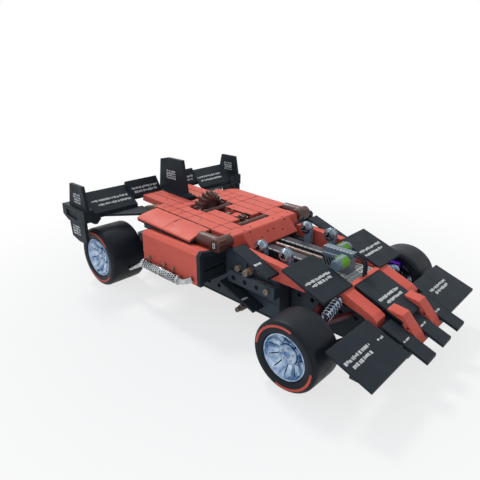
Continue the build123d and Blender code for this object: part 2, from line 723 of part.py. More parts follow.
# ---------------------------------------------------------------- steering and small parts
def steering_rack():
    """Bar across the car with a slot for each steering pin."""
    z = FRONT_WHEEL["radius"]
    x, y = STEER_PIN
    rack = block((-x - 3, x + 3), (y - 6, y + 6), (z + 2.6, z + 6.6))
    for sign in (1, -1):
        rack -= block((sign * x - 2.2, sign * x + 2.2), (y - 4.5, y + 4.5), (z, z + 9))
    return rack


# left pegs along X: Y, Z, inner X, outer X, radius
PEGS = (
    (108, 59, 58, 63, 3.2),
    (91, 58.5, 56, 60, 3.6),
    (91, 58.5, 60, 66, 3.0),
    (76, 43, 56, 61, 3.2),
    (104, 13.2, 50, 60, 2.8),
    (104, 13.2, 60, 65, 2.4),
    (209, 54.4, 98, 101, 2.1),
    (181, 54.4, 98, 101, 2.1),
    (166, 54.4, 98, 101, 2.1),
)


def side_pegs():
    """Round pegs that stand out of the side frames and of the pods."""
    rows = {}
    for y, z, inner, outer, radius in PEGS:
        peg = bar((inner, y, z), (outer, y, z), radius, 8)
        rows[y, z] = rows[y, z] + peg if (y, z) in rows else peg
    return [solid for peg in rows.values() for solid in (peg, other_side(peg))]


def spring_dampers():
    """Sprung dampers from the upper arms to the nose bars."""
    left = bar((62, -7, 52.7), (40, -5, 63.2), 4.4, 10) - block((30, 42), (-20, 20), (40, 80))
    left += block((58.5, 64), (-9.5, -5), (48.3, 53))
    return [left, other_side(left)]


# ---------------------------------------------------------------- all nodes
add_wheel("front", FRONT_WHEEL, 0)
add_wheel("rear", REAR_WHEEL, WHEELBASE)
add_pair("knuckle", knuckle())
add_pair("brake", brake())
add_pair("side_frame", side_frame())
add_pair("sidepod", sidepod())
add_pair("exhaust", exhaust())
add_pair("end_plate", end_plate())
for name, left_parts in (("side_panels", side_panels()), ("sidepod_frame", sidepod_frame())):
    nodes[name + "_left"] = group(left_parts)
    nodes[name + "_right"] = group(other_side(part) for part in left_parts)
for make in (front_arms, rear_arms, spring_dampers, flaps, elbows, cross_shafts, sills, canards,
             front_wings, nose_bars, nose_horns, wing_main, wing_links, clamps, cockpit_slabs,
             motor_heads, hoses, side_pegs):
    made = make()
    nodes[make.__name__] = group(made) if isinstance(made, list) else made
for make in (steering_rack, floor, front_frame, nose_frame, rear_frame, engine_deck, bulkhead,
             nose_plate, prongs, wing_lower, fin_centre, cockpit_floor, motor, radiator_grid,
             drive_gear, pinion):
    nodes[make.__name__] = make()
nodes["cockpit_tube"] = bar((0, 38, TUBE[0]), (0, 110, TUBE[0]), TUBE[1])

shift = Pos(0, -(FRONT_TIP_Y + REAR_TIP_Y) / 2, 0)
for name, solid in nodes.items():
    export_step(shift * solid, f"parts/{name}.step")
print(len(nodes), "nodes written")
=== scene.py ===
# %% [markdown]
# # Dressing an open wheel racing car built from a construction kit
# The imported CAD model is the skeleton of this lesson: it gives every beam, plate and wheel at its
# real size. Blender adds what a CAD solid does not have: soft edges, moulded plastic, plated metal,
# rubber, coil springs, printed marks. We load the skeleton first.

# %% Load the frame
import json
import math
import random

import bmesh
import bpy
from mathutils import Matrix, Vector


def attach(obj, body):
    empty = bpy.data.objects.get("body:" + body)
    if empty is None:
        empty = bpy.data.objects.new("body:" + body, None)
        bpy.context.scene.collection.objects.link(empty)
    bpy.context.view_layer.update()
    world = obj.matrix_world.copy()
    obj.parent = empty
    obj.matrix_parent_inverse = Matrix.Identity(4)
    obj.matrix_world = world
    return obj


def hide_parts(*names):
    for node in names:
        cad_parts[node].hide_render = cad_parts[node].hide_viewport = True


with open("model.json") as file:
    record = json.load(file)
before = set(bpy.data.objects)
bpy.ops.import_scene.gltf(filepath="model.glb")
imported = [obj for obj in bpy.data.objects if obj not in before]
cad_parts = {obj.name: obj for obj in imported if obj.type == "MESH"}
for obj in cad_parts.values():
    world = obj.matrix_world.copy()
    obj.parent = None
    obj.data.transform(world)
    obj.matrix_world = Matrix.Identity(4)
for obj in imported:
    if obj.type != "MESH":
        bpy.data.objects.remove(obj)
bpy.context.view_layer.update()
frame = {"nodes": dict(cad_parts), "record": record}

# %% [markdown]
# ## Units and places
# The frame is in metres with its origin under the middle of the car, while a model maker thinks in
# millimetres from the front axle. One small function turns those into a place in the frame, so that
# all later cells can use workshop numbers.

# %% Millimetres from the front axle
MM = 0.001
FRONT_AXLE_Y = -125.0  # where the front axle lies in the frame, in mm
SIDES = {"left": 1, "right": -1}  # which way X runs on each side of the car


def at(x, y, z):
    """Place in the frame of a point in mm, with y counted from the front axle to the rear."""
    return Vector((x, y + FRONT_AXLE_Y, z)) * MM


print("front axle in the frame:", at(0, 0, 33))

# %% [markdown]
# ## A helper for meshes
# Every added piece ends the same way: its mesh becomes an object, gets a finish, is told which CAD
# body it rides on, and hides the CAD node it stands for. One helper for that keeps the later cells
# about shapes only. A bevel modifier rounds the edges, because no moulded edge is perfectly sharp.

# %% Turn a mesh into a piece of the car


def soften(piece, radius, segments=2):
    """Rounded edges of that radius in mm."""
    edge = piece.modifiers.new("moulded edge", "BEVEL")
    edge.width = radius * MM
    edge.segments = segments
    edge.limit_method = "ANGLE"
    edge.angle_limit = math.radians(35)


def crisp(piece, angle=40):
    """Smooth shading that stops at edges sharper than the angle."""
    piece.data.set_sharp_from_angle(angle=math.radians(angle))


def in_scene(name, data):
    """New object in the scene."""
    made = bpy.data.objects.new(name, data)
    bpy.context.scene.collection.objects.link(made)
    return made


def add_piece(name, shape, finish, slot, body="chassis", stands_for=(), smooth=True):
    """Object out of a mesh or a curve, with a finish, that rides on a CAD body."""
    piece = in_scene(name, shape)
    if hasattr(shape, "polygons"):
        for face in shape.polygons:
            face.use_smooth = smooth
    shape.materials.append(finishes[finish])
    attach(piece, body)
    if stands_for:
        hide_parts(*stands_for)
    return piece


def mesh_from(name, sheet):
    """Mesh out of a bmesh, with all faces turned outwards."""
    bmesh.ops.recalc_face_normals(sheet, faces=sheet.faces)
    mesh = bpy.data.meshes.new(name)
    sheet.to_mesh(mesh)
    sheet.free()
    return mesh


def both_sides(sheet):
    """Copies the left half of the car to the right."""
    made = bmesh.ops.duplicate(sheet, geom=sheet.verts[:] + sheet.edges[:] + sheet.faces[:])["geom"]
    verts = [g for g in made if isinstance(g, bmesh.types.BMVert)]
    bmesh.ops.scale(sheet, vec=(-1, 1, 1), verts=verts)


def trim(name, sheet, finish, slot, edge=0.0, segments=2, mirrored=True, turned=False, **more):
    """Piece out of a sheet, flat-faced or turned, on both sides of the car unless told otherwise."""
    if mirrored:
        both_sides(sheet)
    piece = add_piece(name, mesh_from(name, sheet), finish, slot, smooth=turned, **more)
    if turned:
        crisp(piece)
    if edge:
        soften(piece, edge, segments)
    print(name, len(piece.data.polygons), "faces")


print("helpers ready")

# %% [markdown]
# ## Finishes
# Most parts are moulded plastic, which is never one flat colour: it has faint clouds from the melt,
# paler edges, partly scuffed and partly a painted highlight, and a slightly uneven gloss. A painted
# texture would need seams, so the finish is built from nodes: noise textures give the clouds, the
# gloss and a fine grain, and a bevel node finds the edges by comparing the rounded normal with the
# true one.

# %% Node helpers


def plug(tree, value, socket):
    """Gives an input a constant or another node's output."""
    if isinstance(value, bpy.types.NodeSocket):
        tree.links.new(value, socket)
    else:
        socket.default_value = value


def set_inputs(tree, target, **values):
    """Gives inputs their values by name; _ in a name stands for a space."""
    for name, value in values.items():
        plug(tree, value, target.inputs[name.replace("_", " ")])


def new_node(tree, kind, options=(), **values):
    """Shader node of a kind, with its options set before its inputs."""
    made = tree.nodes.new("ShaderNode" + kind)
    for name, value in dict(options).items():
        setattr(made, name, value)
    set_inputs(tree, made, **values)
    return made


def maths(tree, operation, *values, kind="Math"):
    """Number worked out from one or two values."""
    made = new_node(tree, kind, {"operation": operation})
    for value, socket in zip(values, made.inputs):
        plug(tree, value, socket)
    return made.outputs["Value"]


def ranged(tree, value, before, after, **options):
    """Value stretched from one range, given as two numbers, to another."""
    made = new_node(tree, "MapRange", options, Value=value, From_Min=before[0], From_Max=before[1],
                    To_Min=after[0], To_Max=after[1])
    return made.outputs["Result"]


def new_finish(name):
    """Empty node material, its tree and its Principled shader."""
    finish = bpy.data.materials.new(name)
    finish.use_nodes = True
    tree = finish.node_tree
    tree.nodes.clear()
    shader = new_node(tree, "BsdfPrincipled")
    new_node(tree, "OutputMaterial", Surface=shader.outputs["BSDF"])
    return finish, tree, shader


print("node helpers ready")

# %% Clouds, worn edges and grain


def cloud(tree, size, low, high, detail=3.0, stretch=(1, 1, 1)):
    """Noise in object space with clouds of that size in mm, squeezed to run from low to high."""
    where = new_node(tree, "TexCoord").outputs["Object"]
    scaled = new_node(tree, "Mapping", Vector=where, Scale=stretch).outputs["Vector"]
    noise = new_node(tree, "TexNoise", Vector=scaled, Scale=1000.0 / size, Detail=detail)
    return ranged(tree, noise.outputs["Fac"], (0.3, 0.7), (low, high))


def blend_colours(tree, factor, first, second):
    """Colour between two, each a tuple or a socket, by a factor socket."""
    ends = [(*value, 1) if isinstance(value, tuple) else value for value in (first, second)]
    mix = new_node(tree, "Mix", {"data_type": "RGBA"}, Factor=factor, A=ends[0], B=ends[1])
    return mix.outputs["Result"]


def rounded_normal(tree, radius):
    """Normal of the surface with its edges rounded, radius in mm."""
    return new_node(tree, "Bevel", {"samples": 6}, Radius=radius * MM).outputs["Normal"]


def edge_mask(tree, radius):
    """1 on edges, 0 on flats: how far the rounded normal leans from the true one."""
    true = new_node(tree, "NewGeometry").outputs["Normal"]
    lean = maths(tree, "DOT_PRODUCT", rounded_normal(tree, radius), true, kind="VectorMath")
    return ranged(tree, lean, (0.995, 0.80), (0.0, 1.0))


def bumped(tree, height, depth, normal):
    """Normal with a height socket on it, depth in mm."""
    bump = new_node(tree, "Bump", Strength=0.6, Distance=depth * MM, Height=height, Normal=normal)
    return bump.outputs["Normal"]


print("surface helpers ready")

# %% Moulded plastic and plating


def moulded(slot, colour, shade, edge, gloss=0.34, edge_radius=0.5, shine=0.5):
    """Moulded plastic: colour clouded towards shade, with paler edges in the edge colour, partly wear and
    partly a painted highlight.
    """
    finish, tree, shader = new_finish(slot.replace("_", " ") + " plastic")
    clouds = blend_colours(tree, cloud(tree, 22, 0.0, 0.8, 4.0, (1, 0.25, 1)), colour, shade)
    # The paler edges are partly wear and partly a painted highlight.
    wear_and_highlight = maths(tree, "MULTIPLY", edge_mask(tree, edge_radius), cloud(tree, 5, 0.15, 0.9))
    grain = cloud(tree, 1.4, 0.0, 1.0, 2.0)
    set_inputs(tree, shader, Base_Color=blend_colours(tree, wear_and_highlight, clouds, edge), Specular_IOR_Level=shine,
               Roughness=cloud(tree, 14, gloss - 0.06, gloss + 0.12),
               Normal=bumped(tree, grain, 0.02, rounded_normal(tree, edge_radius)))
    return finish


def plated(slot, colour, shade, gloss=0.12):
    """Bright plating over plastic: it mirrors, with fine ripples; its cooler colour clouds are painted
    reflections.
    """
    finish, tree, shader = new_finish(slot + " plating")
    ripple = cloud(tree, 6, 0.0, 1.0, 2.0)
    # The clouds of colour are painted reflections, cool patches such as a mirror shows.
    set_inputs(tree, shader, Base_Color=blend_colours(tree, cloud(tree, 7, 0.0, 1.0, 2.0), colour, shade),
               Metallic=1.0, Roughness=cloud(tree, 12, gloss - 0.05, gloss + 0.12),
               Normal=bumped(tree, ripple, 0.05, rounded_normal(tree, 0.4)))
    return finish


# colour, shade of its clouds, edge colour (wear, partly a painted highlight), then gloss, radius of the edge
# in mm and shine
MOULDED = {
    "red": ((0.74, 0.125, 0.085), (0.62, 0.10, 0.07), (0.92, 0.42, 0.34), 0.52, 0.6, 0.25),
    "black": ((0.024, 0.031, 0.038), (0.016, 0.022, 0.028), (0.08, 0.10, 0.12), 0.50, 0.5, 0.12),
    # The next row is the black plastic made lighter: painted light for frame parts that sit in shade.
    "beam": ((0.050, 0.066, 0.082), (0.030, 0.042, 0.055), (0.11, 0.14, 0.17), 0.42, 0.5, 0.2),
    "tan": ((0.30, 0.23, 0.165), (0.19, 0.145, 0.105), (0.52, 0.44, 0.35), 0.42, 0.4),
    "brown": ((0.105, 0.036, 0.028), (0.060, 0.021, 0.016), (0.40, 0.20, 0.13), 0.40, 0.5, 0.35),
    "dark_red": ((0.12, 0.018, 0.028), (0.08, 0.010, 0.016), (0.30, 0.07, 0.08), 0.36),
    "grey": ((0.16, 0.21, 0.255), (0.105, 0.145, 0.185), (0.42, 0.48, 0.53)),
    "green": ((0.20, 0.50, 0.03), (0.12, 0.36, 0.02), (0.48, 0.78, 0.22), 0.36),
    "purple": ((0.12, 0.0, 0.50), (0.07, 0.0, 0.34), (0.22, 0.10, 0.55), 0.36),
    "bronze": ((0.16, 0.075, 0.05), (0.10, 0.045, 0.032), (0.45, 0.30, 0.20), 0.26),
    "slate": ((0.040, 0.034, 0.046), (0.026, 0.022, 0.032), (0.20, 0.19, 0.22), 0.30, 0.5, 0.35),
    "silver": ((0.20, 0.255, 0.31), (0.13, 0.175, 0.225), (0.50, 0.57, 0.64)),
    # print: off-white marks; the same off-white also paints highlights on the slab edges, beam ledges and
    # clamps.
    "print": ((0.66, 0.66, 0.64), (0.50, 0.50, 0.49), (0.74, 0.74, 0.72), 0.50),
    # hole: near black, painted shade inside holes and slots; the deck's dark joints and small pins use it
    # too.
    "hole": ((0.004, 0.005, 0.007), (0.003, 0.004, 0.005), (0.02, 0.025, 0.03), 0.6, 0.5, 0.1),
}
# colour, shade of its clouds, then gloss; the clouds are painted reflections
PLATED = {
    "chrome": ((0.60, 0.66, 0.72), (0.10, 0.18, 0.32)),
    "satin": ((0.40, 0.47, 0.54), (0.22, 0.29, 0.36), 0.30),
    "rim": ((0.50, 0.62, 0.76), (0.08, 0.17, 0.33), 0.16),
    "steel": ((0.58, 0.60, 0.60), (0.28, 0.31, 0.35), 0.16),
}
finishes = {slot: moulded(slot, *values) for slot, values in MOULDED.items()}
finishes.update({slot: plated(slot, *values) for slot, values in PLATED.items()})
print(len(finishes), "finishes:", ", ".join(finishes))

# %% [markdown]
# ## Rubber
# Slick rubber is matt and has almost no colour of its own, so the life comes from its roughness:
# noise makes that uneven, as dust and scuffs do. The red arcs on the flank are paint on the rubber,
# thin enough to share its grain, so one function makes both finishes.

# %% Rubber and painted band


def rubber(name, colour, shade, gloss):
    """Matt rubber with fine grain and scuffed patches."""
    finish, tree, shader = new_finish(name)
    grain = cloud(tree, 0.9, 0.0, 1.0, 3.0)
    set_inputs(tree, shader, Base_Color=blend_colours(tree, cloud(tree, 18, 0.0, 1.0, 5.0), colour, shade),
               Specular_IOR_Level=0.14, Roughness=cloud(tree, 9, gloss - 0.08, gloss + 0.12, 4.0),
               Normal=bumped(tree, grain, 0.05, rounded_normal(tree, 0.4)))
    return finish


finishes["tyre"] = rubber("slick rubber", (0.010, 0.013, 0.018), (0.016, 0.020, 0.026), 0.42)
finishes["band"] = rubber("red flank paint", (0.72, 0.12, 0.085), (0.58, 0.09, 0.06), 0.50)
print("rubber and band ready")

# %% [markdown]
# ## Finishes for the carried-over solids
# Most CAD solids already have the right shape, so they stay and only get their finish. The record
# names a material slot for every node, and each slot has a finish above, so a loop is enough and no
# node can be forgotten.

# %% Dress every CAD node by its slot
slot_of = {part["node"]: part["material_slot"] for part in frame["record"]["subparts"]}
for node, solid in frame["nodes"].items():
    # Black frame parts take the lighter copy of black, painted light because they sit in shade.
    takes_painted_lit_black = slot_of[node] == "black" and "frame" in node and "pod" not in node
    solid.data.materials.clear()
    solid.data.materials.append(finishes["beam" if takes_painted_lit_black else slot_of[node]])
    for face in solid.data.polygons:
        face.use_smooth = False
print(len(slot_of), "nodes dressed")

# %% [markdown]
# ## Tyres
# A slick tyre has the same section all the way round, so a lathe function spins that section about
# the X axis. It starts at the bead on the rim, bulges into the flank, rolls over the shoulder and
# crosses the slightly crowned tread. Many steps keep the outline round even close to the camera.
# The painted arcs are the flank faces between two radii and two angles, so their ends are cut
# straight across, as a stencil leaves them.

# %% A lathe about the X axis


def lathe(profile, steps, paint=None):
    """Spins a closed outline of (x, radius) points in mm about X, angle 0 towards the nose.

    paint(x, radius, angle) gives a face the number of its finish.
    """
    sheet = bmesh.new()
    rings = []
    for step in range(steps):
        angle = 2 * math.pi * step / steps
        towards = Vector((0, -math.cos(angle), math.sin(angle)))
        rings.append([sheet.verts.new((Vector((x, 0, 0)) + r * towards) * MM) for x, r in profile])
    for step in range(steps):
        ring, following = rings[step], rings[(step + 1) % steps]
        for i, (x, r) in enumerate(profile):
            j = (i + 1) % len(profile)
            face = sheet.faces.new((ring[i], ring[j], following[j], following[i]))
            if paint:
                middle = ((x + profile[j][0]) / 2, (r + profile[j][1]) / 2)
                face.material_index = paint(*middle, 360.0 * (step + 0.5) / steps)
    return sheet


def arc_points(centre, radius, start, end, count):
    """Points on an arc of the profile, angles in degrees."""
    angles = [math.radians(start + (end - start) * i / (count - 1)) for i in range(count)]
    return [(centre[0] + radius * math.cos(a), centre[1] + radius * math.sin(a)) for a in angles]


print("lathe ready")

# %% The four tyres
# radius, width, bead radius, Y of the axle, X of the outer flank, painted radii and arcs in degrees
TYRES = {
    "front": dict(radius=33.0, width=37.0, bead=22.1, y=0, face_x=118.0,
                  paint=(27.5, 29.7), arcs=((76, 176), (258, 357))),
    "rear": dict(radius=37.0, width=46.0, bead=24.5, y=288, face_x=122.0,
                 paint=(29.8, 32.0), arcs=((40, 136), (227, 323))),
}
WHEELS = [(place, side) for place in TYRES for side in SIDES]


def tyre_sheet(tyre):
    """Slick tyre at the origin with its outer flank on the +X side."""
    half, outer, bead = tyre["width"] / 2, tyre["radius"], tyre["bead"]
    low, high = tyre["paint"]
    flank = [(half - 2.6, bead), (half - 1.0, bead + 0.4), (half - 0.35, bead + 2.0),
             (half - 0.05, low - 0.4), (half, low), (half, high), (half - 0.1, high + 0.5)]
    shoulder = arc_points((half - 4.4, outer - 4.1), 4.0, 12, 84, 9)
    side = flank + shoulder + [(half * 0.45, outer - 0.05), (0, outer)]
    profile = side + [(-x, r) for x, r in reversed(side[:-1])]

    def paint(x, r, angle):
        on_band = x > half - 0.2 and low < r < high
        return int(on_band and any(start <= angle <= end for start, end in tyre["arcs"]))

    return lathe(profile, 144, paint)


def fit_wheel(sheet, place, side):
    """Moves a wheel piece from the origin to its axle, mirrored for a wheel on the right."""
    wheel, sign = TYRES[place], SIDES[side]
    middle = at(sign * (wheel["face_x"] - wheel["width"] / 2), wheel["y"], wheel["radius"])
    bmesh.ops.scale(sheet, vec=(sign, 1, 1), verts=sheet.verts)
    bmesh.ops.translate(sheet, vec=middle, verts=sheet.verts)


for place, side in WHEELS:
    name = f"slick_{place}_{side}"
    sheet = tyre_sheet(TYRES[place])
    fit_wheel(sheet, place, side)
    tyre = add_piece(name, mesh_from(name, sheet), "tyre", "tyre", f"wheel_{place}_{side}",
                     stands_for=[f"tyre_{place}_{side}"])
    tyre.data.materials.append(finishes["band"])
    print(name, len(tyre.data.polygons), "faces")

# %% [markdown]
# ## Small solids
# Pegs, studs, dashes and rods appear in hundreds. Small functions add a brick, a round rod or a
# turned part to a sheet, because one mesh for all studs of a kind is much lighter than one object
# for each.

# %% Bricks, rods and turned parts


def brick(sheet, low, high):
    """Box between two corners in mm."""
    made = bmesh.ops.create_cube(sheet, size=1.0)["verts"]
    size = [(b - a) * MM for a, b in zip(low, high)]
    middle = at(*[(a + b) / 2 for a, b in zip(low, high)])
    bmesh.ops.scale(sheet, vec=size, verts=made)
    bmesh.ops.translate(sheet, vec=middle, verts=made)
    return made


def rod(sheet, start, end, radius, steps=24):
    """Closed rod between two points in mm."""
    first, last = at(*start), at(*end)
    axis = last - first
    made = bmesh.ops.create_cone(sheet, cap_ends=True, segments=steps, radius1=radius * MM,
                                 radius2=radius * MM, depth=axis.length)["verts"]
    bmesh.ops.rotate(sheet, matrix=axis.to_track_quat("Z", "Y").to_matrix(), verts=made)
    bmesh.ops.translate(sheet, vec=(first + last) / 2, verts=made)
    return made


def turned_part(sheet, profile, steps, place):
    """Adds an outline spun about X to a sheet, its origin at a place in mm."""
    ring = lathe(profile, steps)
    bmesh.ops.translate(ring, vec=at(*place), verts=ring.verts)
    part = bpy.data.meshes.new("turned part")
    ring.to_mesh(part)
    ring.free()
    sheet.from_mesh(part)
    bpy.data.meshes.remove(part)


def turn_by(sheet, verts, degrees, centre):
    """Turns vertices about X through a centre in mm."""
    matrix = Matrix.Rotation(math.radians(degrees), 3, "X")
    bmesh.ops.rotate(sheet, cent=at(*centre), matrix=matrix, verts=verts)


print("solids ready")

# %% [markdown]
# ## Rims
# The rims are plated plastic: a deep lip, ten wedge spokes with a ridge that lean into a dish, and
# a flat hub disc with five bolts. A lathe gives the dish in one piece, and a boolean cuts the ten
# slits, as the mould's blades do. The slits make the mirror break up, which is what tells the eye
# that the wheel is plated and not painted.

# %% Shapes of rim, slits and hub
RIM_SLITS, BOLTS = 10, 5
SLIT_WIDTH, SLIT_FOOT = 0.95, 10.6
SPOKE_RIDGE = 2.2  # how far the middle of a spoke stands above its sides
RIM_LIP, DISH = 1.5, 7.0  # how far the rim lies inside the tyre's flank, and the dish inside the rim
SPOKE_TOP = 3.6  # how far the slits end below the bead


def rim_sheet(half, bead):
    """Dished rim at the origin, outer side on +X; every spoke is a ridge between two valleys."""
    face = half - DISH
    outside = [(-half, bead), (half - 1.2, bead), (half, bead - 0.4), (half + 0.5, bead - 1.0),
               (half, bead - 1.8), (half - 1.4, bead - 2.4), (half - 2.4, bead - 3.4)]
    dish = [(face + 0.4, 10.4), (face, 9.8), (face - 3.5, 9.2)]
    bore = [(face - 4, 6.2), (face - 12, 6.2), (face - 12, 4.2), (face - 5, 4.2), (face - 5, 9)]
    sheet = lathe(outside + dish + bore + [(half - 5, bead - 2), (-half, bead - 2)], 120)
    for vert in sheet.verts:
        radius = math.hypot(vert.co.y, vert.co.z) / MM
        if vert.co.x > face * MM and 9.9 < radius < bead - 3.3:
            share = (math.atan2(vert.co.z, -vert.co.y) * RIM_SLITS / (2 * math.pi)) % 1.0
            vert.co.x -= SPOKE_RIDGE * MM * (2 * abs(share - 0.5)) * (1.0 if radius < 12 else 0.45)
    return sheet


def slit_sheet(half, bead):
    """Ten blades that stand where the slits are cut."""
    top = bead - SPOKE_TOP
    sheet = bmesh.new()
    for i in range(RIM_SLITS):
        made = bmesh.ops.create_cube(sheet, size=1.0)["verts"]
        bmesh.ops.scale(sheet, vec=Vector((20, SLIT_WIDTH, top - SLIT_FOOT)) * MM, verts=made)
        bmesh.ops.translate(sheet, vec=Vector((half - 10, 0, (top + SLIT_FOOT) / 2)) * MM, verts=made)
        bmesh.ops.rotate(sheet, matrix=Matrix.Rotation(2 * math.pi * i / RIM_SLITS, 3, "X"), verts=made)
    return sheet


def hub_sheet(half):
    """Hub disc with five bolts in the middle of the dish."""
    face = half - DISH
    sheet = lathe([(face - 4, 9.3), (face + 1.6, 9.3), (face + 2, 8.9), (face + 2, 3.0), (face + 1.2, 2.6),
                   (face + 1.2, 0.01), (face - 4, 0.01)], 60)
    for i in range(BOLTS):
        angle = 2 * math.pi * (i + 0.25) / BOLTS
        made = bmesh.ops.create_cone(sheet, cap_ends=True, segments=6, radius1=1.15 * MM, radius2=0.95 * MM,
                                     depth=1.6 * MM)["verts"]
        bmesh.ops.rotate(sheet, matrix=Matrix.Rotation(math.pi / 2, 3, "Y"), verts=made)
        spot = Vector((face + 2.4, 5.9 * math.cos(angle), 5.9 * math.sin(angle))) * MM
        bmesh.ops.translate(sheet, vec=spot, verts=made)
        for side in {side for vert in made for side in vert.link_faces}:
            side.material_index = 1
    return sheet


print("rim shapes ready")

# %% The four rims


def cut(piece, blades):
    """Applies a boolean cut and removes the blades."""
    cutter = in_scene("cutter", blades)
    step = piece.modifiers.new("cut", "BOOLEAN")
    step.operation = "DIFFERENCE"
    step.solver = "EXACT"
    step.object = cutter
    shape = bpy.context.evaluated_depsgraph_get()
    shape.update()
    piece.data = bpy.data.meshes.new_from_object(piece.evaluated_get(shape))
    piece.modifiers.remove(step)
    bpy.data.objects.remove(cutter)


for place, side in WHEELS:
    half, bead = TYRES[place]["width"] / 2 - RIM_LIP, TYRES[place]["bead"]
    sheets = [rim_sheet(half, bead), slit_sheet(half, bead), hub_sheet(half)]
    for sheet in sheets:
        fit_wheel(sheet, place, side)
    body = f"wheel_{place}_{side}"
    rim = add_piece(f"dish_{place}_{side}", mesh_from("dish", sheets[0]), "rim", "chrome", body,
                    stands_for=[f"rim_{place}_{side}"])
    cut(rim, mesh_from("blades", sheets[1]))
    crisp(rim, 28)
    hub = add_piece(f"hub_{place}_{side}", mesh_from("hub", sheets[2]), "rim", "chrome", body)
    hub.data.materials.append(finishes["print"])
    crisp(hub)
    print(rim.name, len(rim.data.polygons), "faces")

# %% [markdown]
# ## Elbows, tube and cross rods
# The brown connectors are round bars with softly rounded ends, so they are drawn as rods and then
# bevelled.

# %% Elbows and their sockets
ELBOW_Z, ELBOW_R = 87, 7.3
sheet = bmesh.new()
rod(sheet, (72, 150, ELBOW_Z), (72, 121, ELBOW_Z), ELBOW_R, 48)
rod(sheet, (79.2, 122, ELBOW_Z), (56.5, 122, ELBOW_Z), ELBOW_R, 48)
brick(sheet, (66.5, 115.4, 80.2), (78.4, 128, 92.6))
trim("elbow_bars", sheet, "brown", "brown", 1.1, 3, turned=True, stands_for=["elbows"])

sheet = bmesh.new()
brick(sheet, (78.6, 120.1, 84.0), (79.4, 123.9, 90.0))
trim("elbow_sockets", sheet, "print", "tan", 0.3)
# The black disc and cross on the socket's end: painted shade inside the socket and its cross hole.
sheet = bmesh.new()
rod(sheet, (78.9, 122, ELBOW_Z), (79.3, 122, ELBOW_Z), 4.4)
for half_width, half_height in ((0.4, 2.0), (1.2, 0.4)):
    brick(sheet, (79.3, 122 - half_width, ELBOW_Z - half_height),
          (79.5, 122 + half_width, ELBOW_Z + half_height))
trim("elbow_socket_shade", sheet, "black", "black")

# %% Cross rods and tube
sheet = bmesh.new()
for y, z, radius in ((141, 88.6, 3.6), (201.5, 90.2, 3.8)):
    rod(sheet, (-24, y, z), (24, y, z), radius, 40)
    for x in (-19, -8, 9, 20):
        rod(sheet, (x, y, z), (x + 2.2, y, z), radius + 0.35, 40)
trim("deck_rods", sheet, "brown", "brown", 0.3, mirrored=False, turned=True, stands_for=["cross_shafts"])

TUBE_Z = 71
sheet = bmesh.new()
rod(sheet, (0, 38, TUBE_Z), (0, 110, TUBE_Z), 3.1, 40)
for i in range(7):
    rod(sheet, (0, 42 + 10 * i, TUBE_Z), (0, 43.6 + 10 * i, TUBE_Z), 3.25, 40)
trim("bronze_tube", sheet, "bronze", "bronze", 0.25, mirrored=False, turned=True, stands_for=["cockpit_tube"])

# %% [markdown]
# ## Clamps
# Four plated clamps stand beside the cockpit. Each is a stack of turned rings with an open middle on
# a flat stalk, so the lathe makes the disc and a bevelled brick makes the stalk.

# %% Rings of the clamps
CLAMP_Y, CLAMP_Z = (91.8, 59.3), 83
CLAMP_STEPS = ((5.0, 4.8), (4.2, 5.9), (3.3, 6.9), (2.2, 7.6))  # half width and radius of each ring
CLAMP_PROFILE = [(-5, 2.4)]
for half, radius in CLAMP_STEPS:
    CLAMP_PROFILE += [(-half, radius - 0.2), (0.3 - half, radius)]
    CLAMP_PROFILE += [(0.6 - half, radius), (0.75 - half, radius - 0.9)]
CLAMP_PROFILE += [(-x, radius) for x, radius in reversed(CLAMP_PROFILE)]


def around(count, radius, first=0.0, step=None):
    """Offsets in Y and Z of spots round an axis, the first at an angle in degrees."""
    angles = [math.radians(first + (step or 360 / count) * i) for i in range(count)]
    return [(radius * math.cos(angle), radius * math.sin(angle)) for angle in angles]


sheet = bmesh.new()
for y in CLAMP_Y:
    turned_part(sheet, CLAMP_PROFILE, 56, (40, y, CLAMP_Z))
    for x in (44.8, 34.4):
        for dy, dz in around(6, 3.6):
            rod(sheet, (x, y + dy, CLAMP_Z + dz), (x + 0.8, y + dy, CLAMP_Z + dz), 0.5, 8)
trim("clamp_rings", sheet, "satin", "chrome", turned=True, stands_for=["clamps"])

# %% Holes, glints and stalks of the clamps: dark discs are painted shade, pale dots painted glints
holes, dots, stalks = (bmesh.new() for _ in range(3))
for y in CLAMP_Y:
    for x in (35.1, 44.9):
        # Dark discs at both ends of the bore: painted shade inside the hole.
        rod(holes, (x - 0.15, y, CLAMP_Z), (x + 0.15, y, CLAMP_Z), 3.1, 20)
        for dy, dz in around(3, 2.2, 40, 110):
            # Pale dots on the dark discs: painted glints.
            rod(dots, (x - 0.25, y + dy, CLAMP_Z + dz), (x + 0.25, y + dy, CLAMP_Z + dz), 0.55, 8)
    brick(stalks, (37.2, y - 7.6, 64), (42.8, y + 0.6, 81.5))
    brick(stalks, (36.8, y - 7.2, 66), (37.2, y - 6.2, 79))
trim("clamp_hole_shade", holes, "hole", "chrome")
trim("clamp_painted_glints", dots, "print", "chrome")
trim("clamp_stalks", stalks, "silver", "chrome", 0.4)

# %% [markdown]
# ## Pegs
# The tan pegs hold the beams together. A real one has an eight or ten sided collar, a chamfer and a
# hollow end, because it is moulded round a core pin. The lathe with only ten steps gives the flats.

